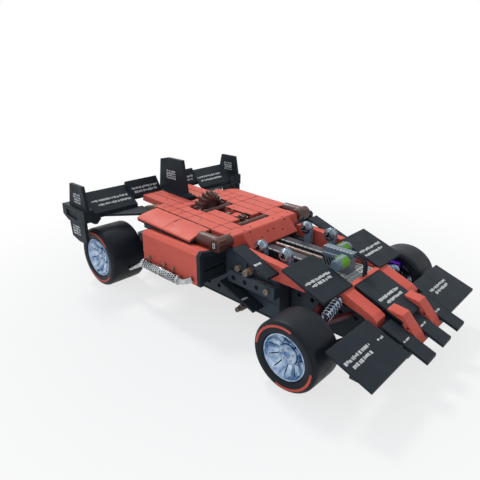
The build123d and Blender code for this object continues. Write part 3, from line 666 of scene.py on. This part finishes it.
# %% Pegs
# Y, Z, inner X, outer X, radius of the left pegs
PEGS = (
    (106, 60.6, 56, 62.5, 3.7),
    (91, 61.5, 56, 61, 4.3),
    (91, 61.5, 61, 66.5, 3.6),
    (62, 51.5, 65, 68, 3.2),
    (104, 13.2, 50, 59, 3.8),
    (104, 13.2, 59, 65, 2.9),
    (209, 54.4, 98, 101, 2.1),
    (181, 54.4, 98, 101, 2.1),
    (166, 54.4, 98, 101, 2.1),
)
sheet = bmesh.new()
for y, z, inner, outer, radius in PEGS:
    length, hole = outer - inner, radius * 0.45
    collar = [(0, 0.02), (0, radius * 0.92), (0.4, radius), (length - 0.5, radius), (length, radius - 0.5)]
    hollow = [(length, hole), (length - 1.0, hole * 0.9), (length - 1.0, 0.02)]
    turned_part(sheet, collar + hollow, 10, (inner, y, z))
trim("tan_pegs", sheet, "tan", "tan", stands_for=["side_pegs"])

# %% [markdown]
# ## Exhausts
# An exhaust is a bent plated pipe inside a fatter heat shield with rows of small round holes. The
# pipe follows a smooth curve, as a real one is bent. The holes are dark studs set into the shield,
# painted shade where open holes would be: at this size they look like open holes, and they keep the
# mesh light.

# %% Exhaust pipes
EXHAUST_X = 102.5
PIPE_ROUTE = [(EXHAUST_X, 246, 30.4), (EXHAUST_X, 232, 38.0), (EXHAUST_X, 221, 44.2), (EXHAUST_X, 213, 46.0),
              (EXHAUST_X, 183, 46.6), (EXHAUST_X, 156, 46.2), (EXHAUST_X, 146, 46.4), (101.4, 139, 49.2),
              (98.6, 134, 52.4)]


def wire(name, points, radius, finish, bent=False, **more):
    """Round wire through points in mm, or bent in a smooth curve near them."""
    curve = bpy.data.curves.new(name, "CURVE")
    curve.dimensions = "3D"
    line = curve.splines.new("NURBS" if bent else "POLY")
    line.points.add(len(points) - 1)
    for spot, point in zip(line.points, points):
        spot.co = (*at(*point), 1)
    if bent:
        line.order_u = 3
        line.use_endpoint_u = True
        line.resolution_u = 8
    curve.bevel_depth = radius * MM
    curve.bevel_resolution = 8 if bent else 3
    curve.use_fill_caps = True
    add_piece(name, curve, finish, "chrome", **more)


for side, sign in SIDES.items():
    route = [(sign * x, y, z) for x, y, z in PIPE_ROUTE]
    wire(f"exhaust_pipe_{side}", route, 3.3, "steel", bent=True, stands_for=[f"exhaust_{side}"])
print("pipes ready")

# %% Heat shields and their holes
SHIELD_MIDDLE = (EXHAUST_X, 183, 46.8)
sheet = bmesh.new()
rod(sheet, (EXHAUST_X, 216.6, 45.6), SHIELD_MIDDLE, 5.1, 40)
rod(sheet, SHIELD_MIDDLE, (EXHAUST_X, 151.5, 46.0), 5.1, 40)
for y in (215, 183, 153):
    rod(sheet, (EXHAUST_X, y - 1.2, 46.3), (EXHAUST_X, y + 1.2, 46.3), 5.45, 40)
trim("heat_shields", sheet, "steel", "chrome", 0.5, 3, turned=True)

HOLE_ROWS, HOLE_COLUMNS = 17, 6
HOLE_FIRST_Y, HOLE_LAST_Y = 156, 211
sheet = bmesh.new()
for i in range(HOLE_ROWS):
    y = HOLE_FIRST_Y + (HOLE_LAST_Y - HOLE_FIRST_Y) * i / (HOLE_ROWS - 1)
    for j in range(HOLE_COLUMNS):
        angle = math.radians(-60 + 150 * (j + 0.5 * (i % 2)) / HOLE_COLUMNS)
        out = Vector((math.cos(angle), 0, math.sin(angle)))
        foot = Vector((EXHAUST_X, y, 46.4)) + out * 4.6
        rod(sheet, foot, foot + out * 0.70, 0.85, 8)
# Dark disc in the tail of the pipe: painted shade inside its open end.
rod(sheet, (EXHAUST_X, 246.2, 30.3), (EXHAUST_X, 244, 31.5), 2.6)
trim("shield_hole_shade", sheet, "hole", "black")

# %% [markdown]
# ## Springs
# A coil spring is a helix of wire round a thin damper. The helix is drawn as a curve with a round
# section, which gives a clean wire with few points.

# %% Coil springs over the dampers
DAMPER_LOW, DAMPER_HIGH = Vector((67.5, -7.0, 52.6)), Vector((46.0, -6.0, 60.0))
COIL_TURNS, COIL_R, WIRE_R = 6.5, 4.3, 0.75
COIL_STEPS = int(COIL_TURNS * 16)
axis = DAMPER_HIGH - DAMPER_LOW
coil_points = []
for i in range(COIL_STEPS + 1):
    share = i / COIL_STEPS
    angle = 2 * math.pi * COIL_TURNS * share
    offset = axis.to_track_quat("Z", "Y") @ Vector((COIL_R * math.cos(angle), COIL_R * math.sin(angle), 0))
    coil_points.append(DAMPER_LOW + axis * share + offset)
for side, sign in SIDES.items():
    wire(f"coil_{side}", [(sign * x, y, z) for x, y, z in coil_points], WIRE_R, "chrome")
print("coils:", len(coil_points), "points each")

# %% Dampers
sheet = bmesh.new()
rod(sheet, DAMPER_LOW, DAMPER_HIGH, 1.9, 20)
rod(sheet, DAMPER_LOW - Vector((1.2, 0, -0.5)), DAMPER_LOW + Vector((-0.4, 0, 0.2)), 4.4, 28)
rod(sheet, DAMPER_HIGH, DAMPER_HIGH + Vector((-1.0, 0, 0.4)), 4.4, 28)
brick(sheet, (58.6, -9.4, 48.3), (63.9, -5.1, 53))
rod(sheet, DAMPER_HIGH, DAMPER_HIGH + Vector((-6.0, 0.3, 2.1)), 2.2, 20)
trim("damper_rods", sheet, "chrome", "chrome", 0.2, turned=True, stands_for=["spring_dampers"])

# %% [markdown]
# ## Radiator grid
# The grid under the motor is a pale open lattice. Its bars are bricks in one mesh: the crossing bars
# overlap, which costs nothing and needs no boolean.

# %% Lattice
GRID_SIDE, GRID_FRONT, GRID_REAR = 24, -4, 39
BAR, FRAME_BAR = 1.5, 1.6
PITCH_X, PITCH_Y = 5.07, 5.075
sheet = bmesh.new()
for i in range(10):
    x = 1.2 - GRID_SIDE + i * PITCH_X
    brick(sheet, (x - BAR / 2, GRID_FRONT, 65.4), (x + BAR / 2, GRID_REAR, 67.4))
for j in range(9):
    y = GRID_FRONT + 1.2 + j * PITCH_Y
    brick(sheet, (-GRID_SIDE, y - BAR / 2, 65.2), (GRID_SIDE, y + BAR / 2, 67.2))
for x in (-GRID_SIDE, GRID_SIDE - FRAME_BAR):
    brick(sheet, (x, GRID_FRONT, 64), (x + FRAME_BAR, GRID_REAR, 67.6))
for y in (GRID_FRONT, GRID_REAR - FRAME_BAR):
    brick(sheet, (-GRID_SIDE, y, 64), (GRID_SIDE, y + FRAME_BAR, 67.6))
trim("radiator_lattice", sheet, "print", "chrome", mirrored=False, stands_for=["radiator_grid"])

# %% [markdown]
# ## Prisms
# Flaps, brackets and tapered planks are outlines pushed along one axis. Bmesh needs only the two
# end faces and the walls between them, so a short function draws any such prism.

# %% Prism along an axis
AXES = {"y": lambda a, b, depth: (a, depth, b), "z": lambda a, b, depth: (a, b, depth)}


def between(sheet, first, last):
    """Closed solid between two rings of corners, given as places in the frame."""
    rings = [[sheet.verts.new(place) for place in ring] for ring in (first, last)]
    for ring in rings:
        sheet.faces.new(ring)
    for i in range(len(first)):
        j = (i + 1) % len(first)
        sheet.faces.new((rings[0][i], rings[0][j], rings[1][j], rings[1][i]))


def prism(sheet, outline, axis, low, high, lift=None):
    """Solid between two places on an axis; lift(x, y) adds height to a corner."""
    ends = []
    for depth in (low, high):
        places = [AXES[axis](a, b, depth) for a, b in outline]
        ends.append([at(x, y, z + (lift(x, y) if lift else 0)) for x, y, z in places])
    between(sheet, *ends)


print("prism ready")

# %% [markdown]
# ## Flaps of the deck
# Each side flap is two curved red plates that meet at a stepped seam, on a thin black layer. Its
# front corner is a sharp point. The section follows the curve, and the height grows to the rear
# with the deck, so the flap is a prism with a lift.

# %% Flaps
DECK_RISE = 0.039
FLAP_SECTION = ((57, 92.0), (64, 91.7), (70, 91.2), (75, 90.4), (80, 89.4), (84, 88.3), (87, 87.2))
FLAP_FRONT, FLAP_SEAM, FLAP_REAR = 151.0, 197.0, 246.0


def flap_plate(sheet, drop, thickness, front, rear, inset=0.0):
    """Curved plate below the flap's top surface."""
    top = [(x - inset * (x > 60), z - drop) for x, z in FLAP_SECTION]
    outline = top + [(x, z - thickness) for x, z in reversed(top)]
    prism(sheet, outline, "y", front, rear, lambda x, y: DECK_RISE * (y - FLAP_FRONT))


sheet = bmesh.new()
flap_plate(sheet, 0.0, 2.2, FLAP_FRONT, FLAP_SEAM - 0.35)
flap_plate(sheet, 0.0, 2.2, FLAP_SEAM, FLAP_REAR)
trim("flap_plates", sheet, "red", "red", 0.45, stands_for=["flaps"])
sheet = bmesh.new()
flap_plate(sheet, 2.25, 2.1, FLAP_FRONT - 0.8, FLAP_REAR, 0.4)
trim("flap_layers", sheet, "black", "black", 0.3)

# %% [markdown]
# ## Seams of the deck
# The deck is laid from long strips. Where two strips meet there is a dark gap, open in some places
# and closed in others, so the gaps are broken lines of thin dark bricks set in the grooves.

# %% Dark seams
# X, front, rear
SEAMS_ALONG = ((56, 152, 250), (40, 136, 252), (24, 136, 300), (8, 152, 192), (8, 242, 300))
# Y, inner X, outer X
SEAMS_ACROSS = ((134.9, 24, 55), (194, 8, 24), (253, 41, 55))


def deck_top(y):
    """Height of the deck's top."""
    return 91.0 + DECK_RISE * (y - 118.6)


def seam(sheet, left, right, front, rear, depth):
    """Dark strip set in the deck, its top a small depth below the surface."""
    outline = [(left, front), (right, front), (right, rear), (left, rear)]
    prism(sheet, outline, "z", deck_top(0) - 1.6, deck_top(0) - depth, lambda x, y: DECK_RISE * y)


random.seed(7)
sheet = bmesh.new()
for x, front, rear in SEAMS_ALONG:
    y = front
    while y < rear:
        length = random.uniform(9, 30)
        end = min(y + length, rear)
        half = random.choice((0.45, 0.6, 0.9)) / 2
        seam(sheet, x - half, x + half, y, end, 0.15)
        y = end + random.uniform(1, 7)
for y, inner, outer in SEAMS_ACROSS:
    seam(sheet, inner, outer, y - 0.3, y + 0.3, 0.12)
brick(sheet, (57.2, FLAP_SEAM - 0.4, 92.0), (70, FLAP_SEAM + 0.1, 93.6))
trim("deck_seams", sheet, "hole", "black")

# %% Small pins and pegs of the deck
sheet = bmesh.new()
for x, y in ((50, 128), (20, 126), (33, 123), (45, 214), (30, 262), (47, 246), (12, 183), (18, 290)):
    rod(sheet, (x, y, deck_top(y) - 0.5), (x, y, deck_top(y) + 0.25), 0.8, 10)
for x, y, z in ((30, 117.2, 90), (5, 113, 85.6), (18, 110, 82.5)):
    rod(sheet, (x, y, z), (x, y - 0.6, z + 0.5), 0.7, 10)
trim("deck_pins", sheet, "hole", "black")
sheet = bmesh.new()
for x, y in ((51, 254.6), (46, 180), (24, 205)):
    rod(sheet, (x, y, deck_top(y) - 4), (x, y, deck_top(y) + 0.5), 1.7, 10)
trim("deck_pegs", sheet, "tan", "tan", 0.2)

# %% [markdown]
# ## Side beams
# Thick beams with peg holes lie outside the side frames, under the small sloping plates. Their top
# shows as a lit ledge with rows of pale dots: painted highlights where light catches the rims of the
# holes. A bevelled brick is enough, with dark studs as painted shade in the holes and pale studs as
# painted highlights, since no light passes through them.

# %% Side beams with their holes
BEAM_OUT, BEAM_HOLE_Z = 65.0, 50.7
sheet = bmesh.new()
brick(sheet, (56, 53.2, 44), (BEAM_OUT, 117, 57.4))
# The side beams take the lighter copy of black too: painted light.
trim("side_beams", sheet, "beam", "black", 0.7)
sheet = bmesh.new()
# Dark discs on the beam's face: painted shade inside the peg holes.
for y in (108, 92, 76):
    rod(sheet, (BEAM_OUT - 0.3, y, BEAM_HOLE_Z), (BEAM_OUT + 0.06, y, BEAM_HOLE_Z), 2.7, 20)
trim("beam_hole_shade", sheet, "hole", "black")

# %% Painted highlights on the ledges
DOT_PITCH = 2.2
sheet = bmesh.new()
for first, last in ((60, 80), (90, 108)):
    for i in range(int((last - first) / DOT_PITCH)):
        y = first + DOT_PITCH * i
        rod(sheet, (BEAM_OUT - 2.6, y, 57.3), (BEAM_OUT - 2.6, y, 57.6), 0.42, 8)
# A second row of painted highlight dots runs along a seam of the side frame.
for i in range(12):
    y, z = 134 + 3.1 * i, 43 - 0.02 * i
    rod(sheet, (55.8, y, z), (56.25, y, z), 0.4, 8)
trim("beam_painted_highlights", sheet, "print", "black")

# %% [markdown]
# ## Rear wing
# The lower element is a swept plank that starts at a tan link beside the deck and runs out under
# the main plane. A bracket with a folded outline joins each end plate to the planes. Both are flat
# plates, so a prism of the outline gives them whole.

# %% Lower element and brackets
sheet = bmesh.new()
WING_PLANK = ((50, 262), (58, 266), (104, 291), (120.9, 291), (120.9, 300), (99, 300), (50, 289))
prism(sheet, WING_PLANK, "z", 44.2, 47.0, lambda x, y: 4 / 27 * y - 2)
brick(sheet, (42, 276, 79), (52, 289, 85))
both_sides(sheet)
brick(sheet, (-52, 276, 76), (52, 289, 81))
trim("wing_plank", sheet, "black", "black", 0.4, mirrored=False, stands_for=["wing_lower"])
sheet = bmesh.new()
prism(sheet, [(121, 98), (115, 91), (111, 86), (116.5, 80), (121, 80.6)], "y", 286.2, 300)
trim("wing_brackets", sheet, "black", "black", 0.4)

# %% [markdown]
# ## Brakes
# A purple caliper sits on the upright of each front wheel and follows it when the car steers. The
# plain steel disc further out turns with the wheel, so the two ride on different bodies. Bricks
# make the one and the lathe the other.

# %% Calipers and discs
DISC = [(-0.9, 5.2), (0.9, 5.2), (0.9, 10), (0.5, 10.3), (0.5, 16.6), (0.9, 17), (0.9, 19), (-0.9, 19),
        (-0.9, 17), (-0.5, 16.6), (-0.5, 10.3), (-0.9, 10)]
for side, sign in SIDES.items():
    sheet = bmesh.new()
    brick(sheet, (74.5, -7.5, 49.4), (80.4, 12, 56.6))
    brick(sheet, (76.0, 9, 47.0), (79.8, 14, 55.0))
    bmesh.ops.scale(sheet, vec=(sign, 1, 1), verts=sheet.verts)
    trim(f"caliper_{side}", sheet, "purple", "purple", 0.5, mirrored=False, body=f"upright_{side}")
    sheet = bmesh.new()
    turned_part(sheet, DISC, 72, (sign * 90.2, 0, TYRES["front"]["radius"]))
    trim(f"brake_disc_{side}", sheet, "satin", "chrome", mirrored=False, turned=True,
         body=f"wheel_front_{side}")

# %% [markdown]
# ## Motor
# Its two heads lie across the car, one further back than the other: a grey cap outside, green
# cooling ribs, and a grey strip on top. Drums of eight sides give them their flats. A row of pale
# dots marks the edge of the bar.

# %% Motor block and heads
HEAD_Z, HEAD_R = 81.6, 6.3
HEADS = ((-1, 12.0), (1, 28.5))  # side and Y of each head
HEAD_TOP = HEAD_Z + HEAD_R


def flat_drum(sheet, side, y, inner, outer, radius):
    """Eight sided drum across the car, flat side up."""
    made = rod(sheet, (side * inner, y, HEAD_Z), (side * outer, y, HEAD_Z), radius, 8)
    turn_by(sheet, made, 22.5, (0, y, HEAD_Z))


grey, green, strips = (bmesh.new() for _ in range(3))
brick(grey, (-8, 9, 67.6), (8, 38, 84))
brick(grey, (-4.2, 6, 84), (4.2, 40, 89))
brick(grey, (-6.4, 7.8, 67.6), (6.4, 9.2, 83))
for side, y in HEADS:
    flat_drum(grey, side, y, 7, 22, 4)
    flat_drum(grey, side, y, 21, 24.2, HEAD_R)
    flat_drum(grey, side, y, 24.2, 25.8, HEAD_R - 0.9)
    flat_drum(green, side, y, 8, 21, HEAD_R - 1.0)
    for i in range(6):
        flat_drum(green, side, y, 8.4 + 2.15 * i, 9.5 + 2.15 * i, HEAD_R)
    low, high = sorted((side * 8, side * 21))
    brick(strips, (low, y - 1.6, HEAD_TOP - 1.3), (high, y + 2.2, HEAD_TOP - 0.1))
trim("motor_block", grey, "grey", "grey", 0.5, mirrored=False, stands_for=["motor"])
trim("motor_ribs", green, "green", "green", 0.2, mirrored=False, stands_for=["motor_heads"])
trim("motor_strips", strips, "silver", "grey", 0.2, mirrored=False)

# %% Dots on the bar, painted shade of the slots in the block, clips on the heads
dots, slot_shade, clips = (bmesh.new() for _ in range(3))
for i in range(9):
    y = 8 + 3.7 * i
    brick(dots, (-4.35, y, 88.3), (-3.1, y + 1.9, 89.08))
# Dark slanted bricks on the sides of the block: painted shade inside the grille slots.
for i in range(5):
    y = 21 + 3.3 * i
    for low, high in ((-8.15, -7.6), (7.6, 8.15)):
        made = brick(slot_shade, (low, y, 71), (high, y + 1.5, 81))
        turn_by(slot_shade, made, -24, (0, y + 0.7, 76))
for side, y in HEADS:
    for i in range(4):
        x = side * (9.5 + 3.4 * i)
        brick(clips, (x - 0.8, y + 2.3, HEAD_TOP - 1.4), (x + 0.8, y + 3.9, HEAD_TOP + 0.1))
trim("motor_bar_dots", dots, "print", "grey", mirrored=False)
trim("motor_slot_shade", slot_shade, "hole", "black", mirrored=False)
trim("motor_clips", clips, "green", "green", 0.15, mirrored=False)

# %% [markdown]
# ## Painted highlights on the slabs
# Each slab in the cockpit has a painted highlight, a bright strip along its right edge, broken in
# places. Short bricks of random length give it cleaner ends than a noise mask would.

# %% Painted highlight strips of the slabs
sheet = bmesh.new()
for x in (-21.0, 9.0):
    y = 49.0
    while y < 111:
        end = min(y + random.uniform(4, 12), 111)
        brick(sheet, (x - 0.1, y, 72.9), (x + 1.2, end, 74.2))
        y = end + random.uniform(0.4, 1.6)
# These strips are painted highlights along the slabs' right edges.
trim("slab_painted_highlights", sheet, "print", "chrome", mirrored=False)

# %% [markdown]
# ## Printed marks
# The black plates carry rows of small white marks. They are generic here: plain blocks of uneven
# width, with no letters. Each block is a thin raised tile, because print stands a little proud, and
# it follows the slope of its plate.

# %% Rows of marks on sloping plates
SLOPE = math.tan(math.radians(20))
ROW_HEIGHT = 3.2


def row_of_blocks(sheet, start, end, place, height):
    """Uneven blocks along a row; place(x, v, out) is the spot at height v, out above the plate."""
    x = start
    while x < end - 0.8:
        width = min(random.uniform(1.3, 3.0), end - x)
        low = random.choice((0.0, 0.0, 0.12, 0.25)) * height
        high = height * random.choice((1.0, 1.0, 0.9, 0.78))
        corners = [(x, low), (x + width, low), (x + width, high), (x, high)]
        between(sheet, *[[place(a, b, out) for a, b in corners] for out in (-0.1, 0.12)])
        x += width + random.choice((0.35, 0.45, 0.6, 1.5))


def on_plate(y0, z0, rise):
    """Places on a plate that climbs to the rear; y0 and z0 are the row's front edge on its top."""
    run = 1 / math.hypot(1, rise)

    def place(x, v, out):
        return at(x, y0 + v * run - out * rise * run, z0 + v * rise * run + out * run)

    return place


# Y and Z of an edge of each plate, and its rise to the rear
CANARD, FRONT_WING, NOSE = (38, 86.6, SLOPE), (-35, 53.0, SLOPE), (-9, 68.0, SLOPE)
UPPER_PLATE, LOWER_PLATE = (101, 88.0, SLOPE), (122, 45.0, SLOPE)
PRONG = (-48, 34.5 + SLOPE * 42, SLOPE)
WING_SIDE, WING_MIDDLE = (290, 92, 20 / 28), (301.32, 98.5, 18.5 / 11.68)
# plate, Y of the row's front edge, first and last X, share of the row height
ROWS = (
    (CANARD, 12.0, -70.7, -32.8, 1), (CANARD, 7.6, -66, -36, 1),
    (CANARD, 13.4, 26.5, 68, 1), (CANARD, 7.4, 28, 63, 1),
    (FRONT_WING, -52.6, -107, -69.6, 1), (FRONT_WING, -57.9, -103, -72, 1),
    (FRONT_WING, -54.2, -59, -50.4, 0.7), (FRONT_WING, -53.0, 55, 91, 1), (FRONT_WING, -57.4, 58, 89, 1),
    (NOSE, -34.2, -19.4, 16.8, 1), (NOSE, -39.6, -14, 15, 1),
    (UPPER_PLATE, 71.8, -71.5, -60, 0.9), (LOWER_PLATE, 88.8, -70.8, -60.7, 0.9),
    (UPPER_PLATE, 71.8, 60, 71.5, 0.9), (LOWER_PLATE, 88.8, 60.7, 70.8, 0.9),
    (PRONG, -69, -41, -29.6, 0.6), (PRONG, -69, -7, 3.5, 0.6), (PRONG, -69, 26.8, 36.6, 0.6),
    (WING_SIDE, 303.2, -112, -60, 1), (WING_SIDE, 297.6, -106, -60, 1),
    (WING_SIDE, 303.2, 60, 107, 1), (WING_SIDE, 297.6, 62, 104, 1),
    (WING_MIDDLE, 306.0, -52, -12, 1), (WING_MIDDLE, 303.2, -50, -14, 1),
    (WING_MIDDLE, 306.0, 12, 52, 1), (WING_MIDDLE, 303.2, 14, 50, 1),
)
random.seed(11)
marks = bmesh.new()
for (edge_y, edge_z, rise), y, start, end, share in ROWS:
    row_of_blocks(marks, start, end, on_plate(y, edge_z + rise * (y - edge_y), rise), ROW_HEIGHT * share)
trim("plate_marks", marks, "print", "black", mirrored=False)

# %% Marks on the upright plates
# X of the face, the way it looks, first and last Y, height of the lowest row
WALLS = ((2.5, 1, 276, 297, 115), (129.0, 1, 297, 315, 104.5), (125.0, -1, 297, 315, 104.5),
         (133.0, 1, 300, 319, 65))


def on_wall(x, z0, side):
    """Places on an upright plate; rows run along Y and side is the way its face looks."""
    return lambda y, v, out: at(x + side * out, y, z0 + v)


marks = bmesh.new()
for face, look, start, end, low in WALLS:
    for side in (-1, 1):
        for row in range(4):
            lead = random.uniform(0, 1.6)
            place = on_wall(side * face, low + ROW_HEIGHT * row, side * look)
            row_of_blocks(marks, start + lead, end - lead, place, 2.3)
trim("wall_marks", marks, "print", "black", mirrored=False)

# %% [markdown]
# ## Floor and light
# The car stands on a plain pale floor. The light is that of a soft studio: one large lamp from above
# and slightly behind, and a world that fills the shadows and is brightest on the car's right.
# Floor and world are white only where the camera, a mirror or glass sees them, so the plating has
# something bright to mirror while the colours of the plastic stay as they are.

# %% Who sees the background


def seen(tree):
    """1 for rays of the camera, of mirrors and of glass, 0 for light that falls on things."""
    ray = new_node(tree, "LightPath")
    amount = ray.outputs["Is Camera Ray"]
    for kind in ("Glossy", "Transmission"):
        amount = maths(tree, "MAXIMUM", amount, ray.outputs[f"Is {kind} Ray"])
    return amount


def mixed(tree, factor, first, second):
    """Light or surface between two."""
    mix = new_node(tree, "MixShader", Fac=factor)
    for value, socket in zip((first, second), mix.inputs[1:]):
        tree.links.new(value, socket)
    return mix.outputs["Shader"]


print("background helpers ready")

# %% Floor
REACH = 6.0  # half the floor's side, in metres
SHADOW_RANGE = (0.10, 0.52)  # distances from the middle over which the floor fades to pure white
floor_mesh = bpy.data.meshes.new("studio_floor")
corners = [(-REACH, -REACH, 0), (REACH, -REACH, 0), (REACH, REACH, 0), (-REACH, REACH, 0)]
floor_mesh.from_pydata(corners, [], [(0, 1, 2, 3)])
studio_floor = in_scene("studio_floor", floor_mesh)
finish, tree, shader = new_finish("pale floor")
set_inputs(tree, shader, Base_Color=(0.62, 0.62, 0.62, 1), Roughness=0.95, Specular_IOR_Level=0.1)
distance = maths(tree, "LENGTH", new_node(tree, "TexCoord").outputs["Object"], kind="VectorMath")
share = ranged(tree, distance, SHADOW_RANGE, (0.72, 1.0), interpolation_type="SMOOTHSTEP")
glow = new_node(tree, "Emission").outputs["Emission"]
surface = mixed(tree, maths(tree, "MULTIPLY", seen(tree), share), shader.outputs["BSDF"], glow)
tree.links.new(surface, tree.nodes["Material Output"].inputs["Surface"])
floor_mesh.materials.append(finish)
print("floor laid")

# %% World
BRIGHT_SIDE = (-0.85, 0.45, 0.30)  # where the sky is brightest
world = bpy.data.worlds.new("studio")
bpy.context.scene.world = world
world.use_nodes = True
tree = world.node_tree
tree.nodes.clear()
heading = new_node(tree, "TexCoord").outputs["Generated"]
lean = maths(tree, "DOT_PRODUCT", heading, BRIGHT_SIDE, kind="VectorMath")
strength = ranged(tree, lean, (-1.0, 1.0), (0.05, 0.98))
fill = new_node(tree, "Background", Color=(0.80, 0.89, 1.0, 1), Strength=strength).outputs["Background"]
white = new_node(tree, "Background", Color=(1, 1, 1, 1), Strength=1.0).outputs["Background"]
new_node(tree, "OutputWorld", Surface=mixed(tree, seen(tree), fill, white))
print("world lit")

# %% Lamp
light = bpy.data.lights.new("key lamp", "SUN")
light.energy = 1.9
light.angle = math.radians(12)
light.color = (1.0, 0.985, 0.96)
lamp = in_scene("key lamp", light)
lamp.location = (0.25, 0.75, 1.0)
lamp.rotation_euler = lamp.location.to_track_quat("Z", "Y").to_euler()
print("lamp:", lamp.name)

# %% [markdown]
# ## Camera
# The camera looks at the right side and the nose from a little above. Its lens is a moderate wide
# angle, so it stands close to the car and the nearer wheels look larger, as they do to the eye.

# %% Camera
AZIMUTH, ELEVATION = math.radians(-46.37), math.radians(21.736)
level = Vector((math.sin(AZIMUTH), -math.cos(AZIMUTH), 0)) * math.cos(ELEVATION)
back = level + Vector((0, 0, math.sin(ELEVATION)))
lens = bpy.data.cameras.new("camera")
lens.sensor_width = 36.0
lens.lens = 32.898
camera = in_scene("camera", lens)
camera.location = (-0.3593, -0.3070, 0.2581)
camera.rotation_euler = back.to_track_quat("Z", "Y").to_euler()
bpy.context.scene.camera = camera
bpy.context.scene.view_settings.view_transform = "Standard"
print("camera at", camera.location)
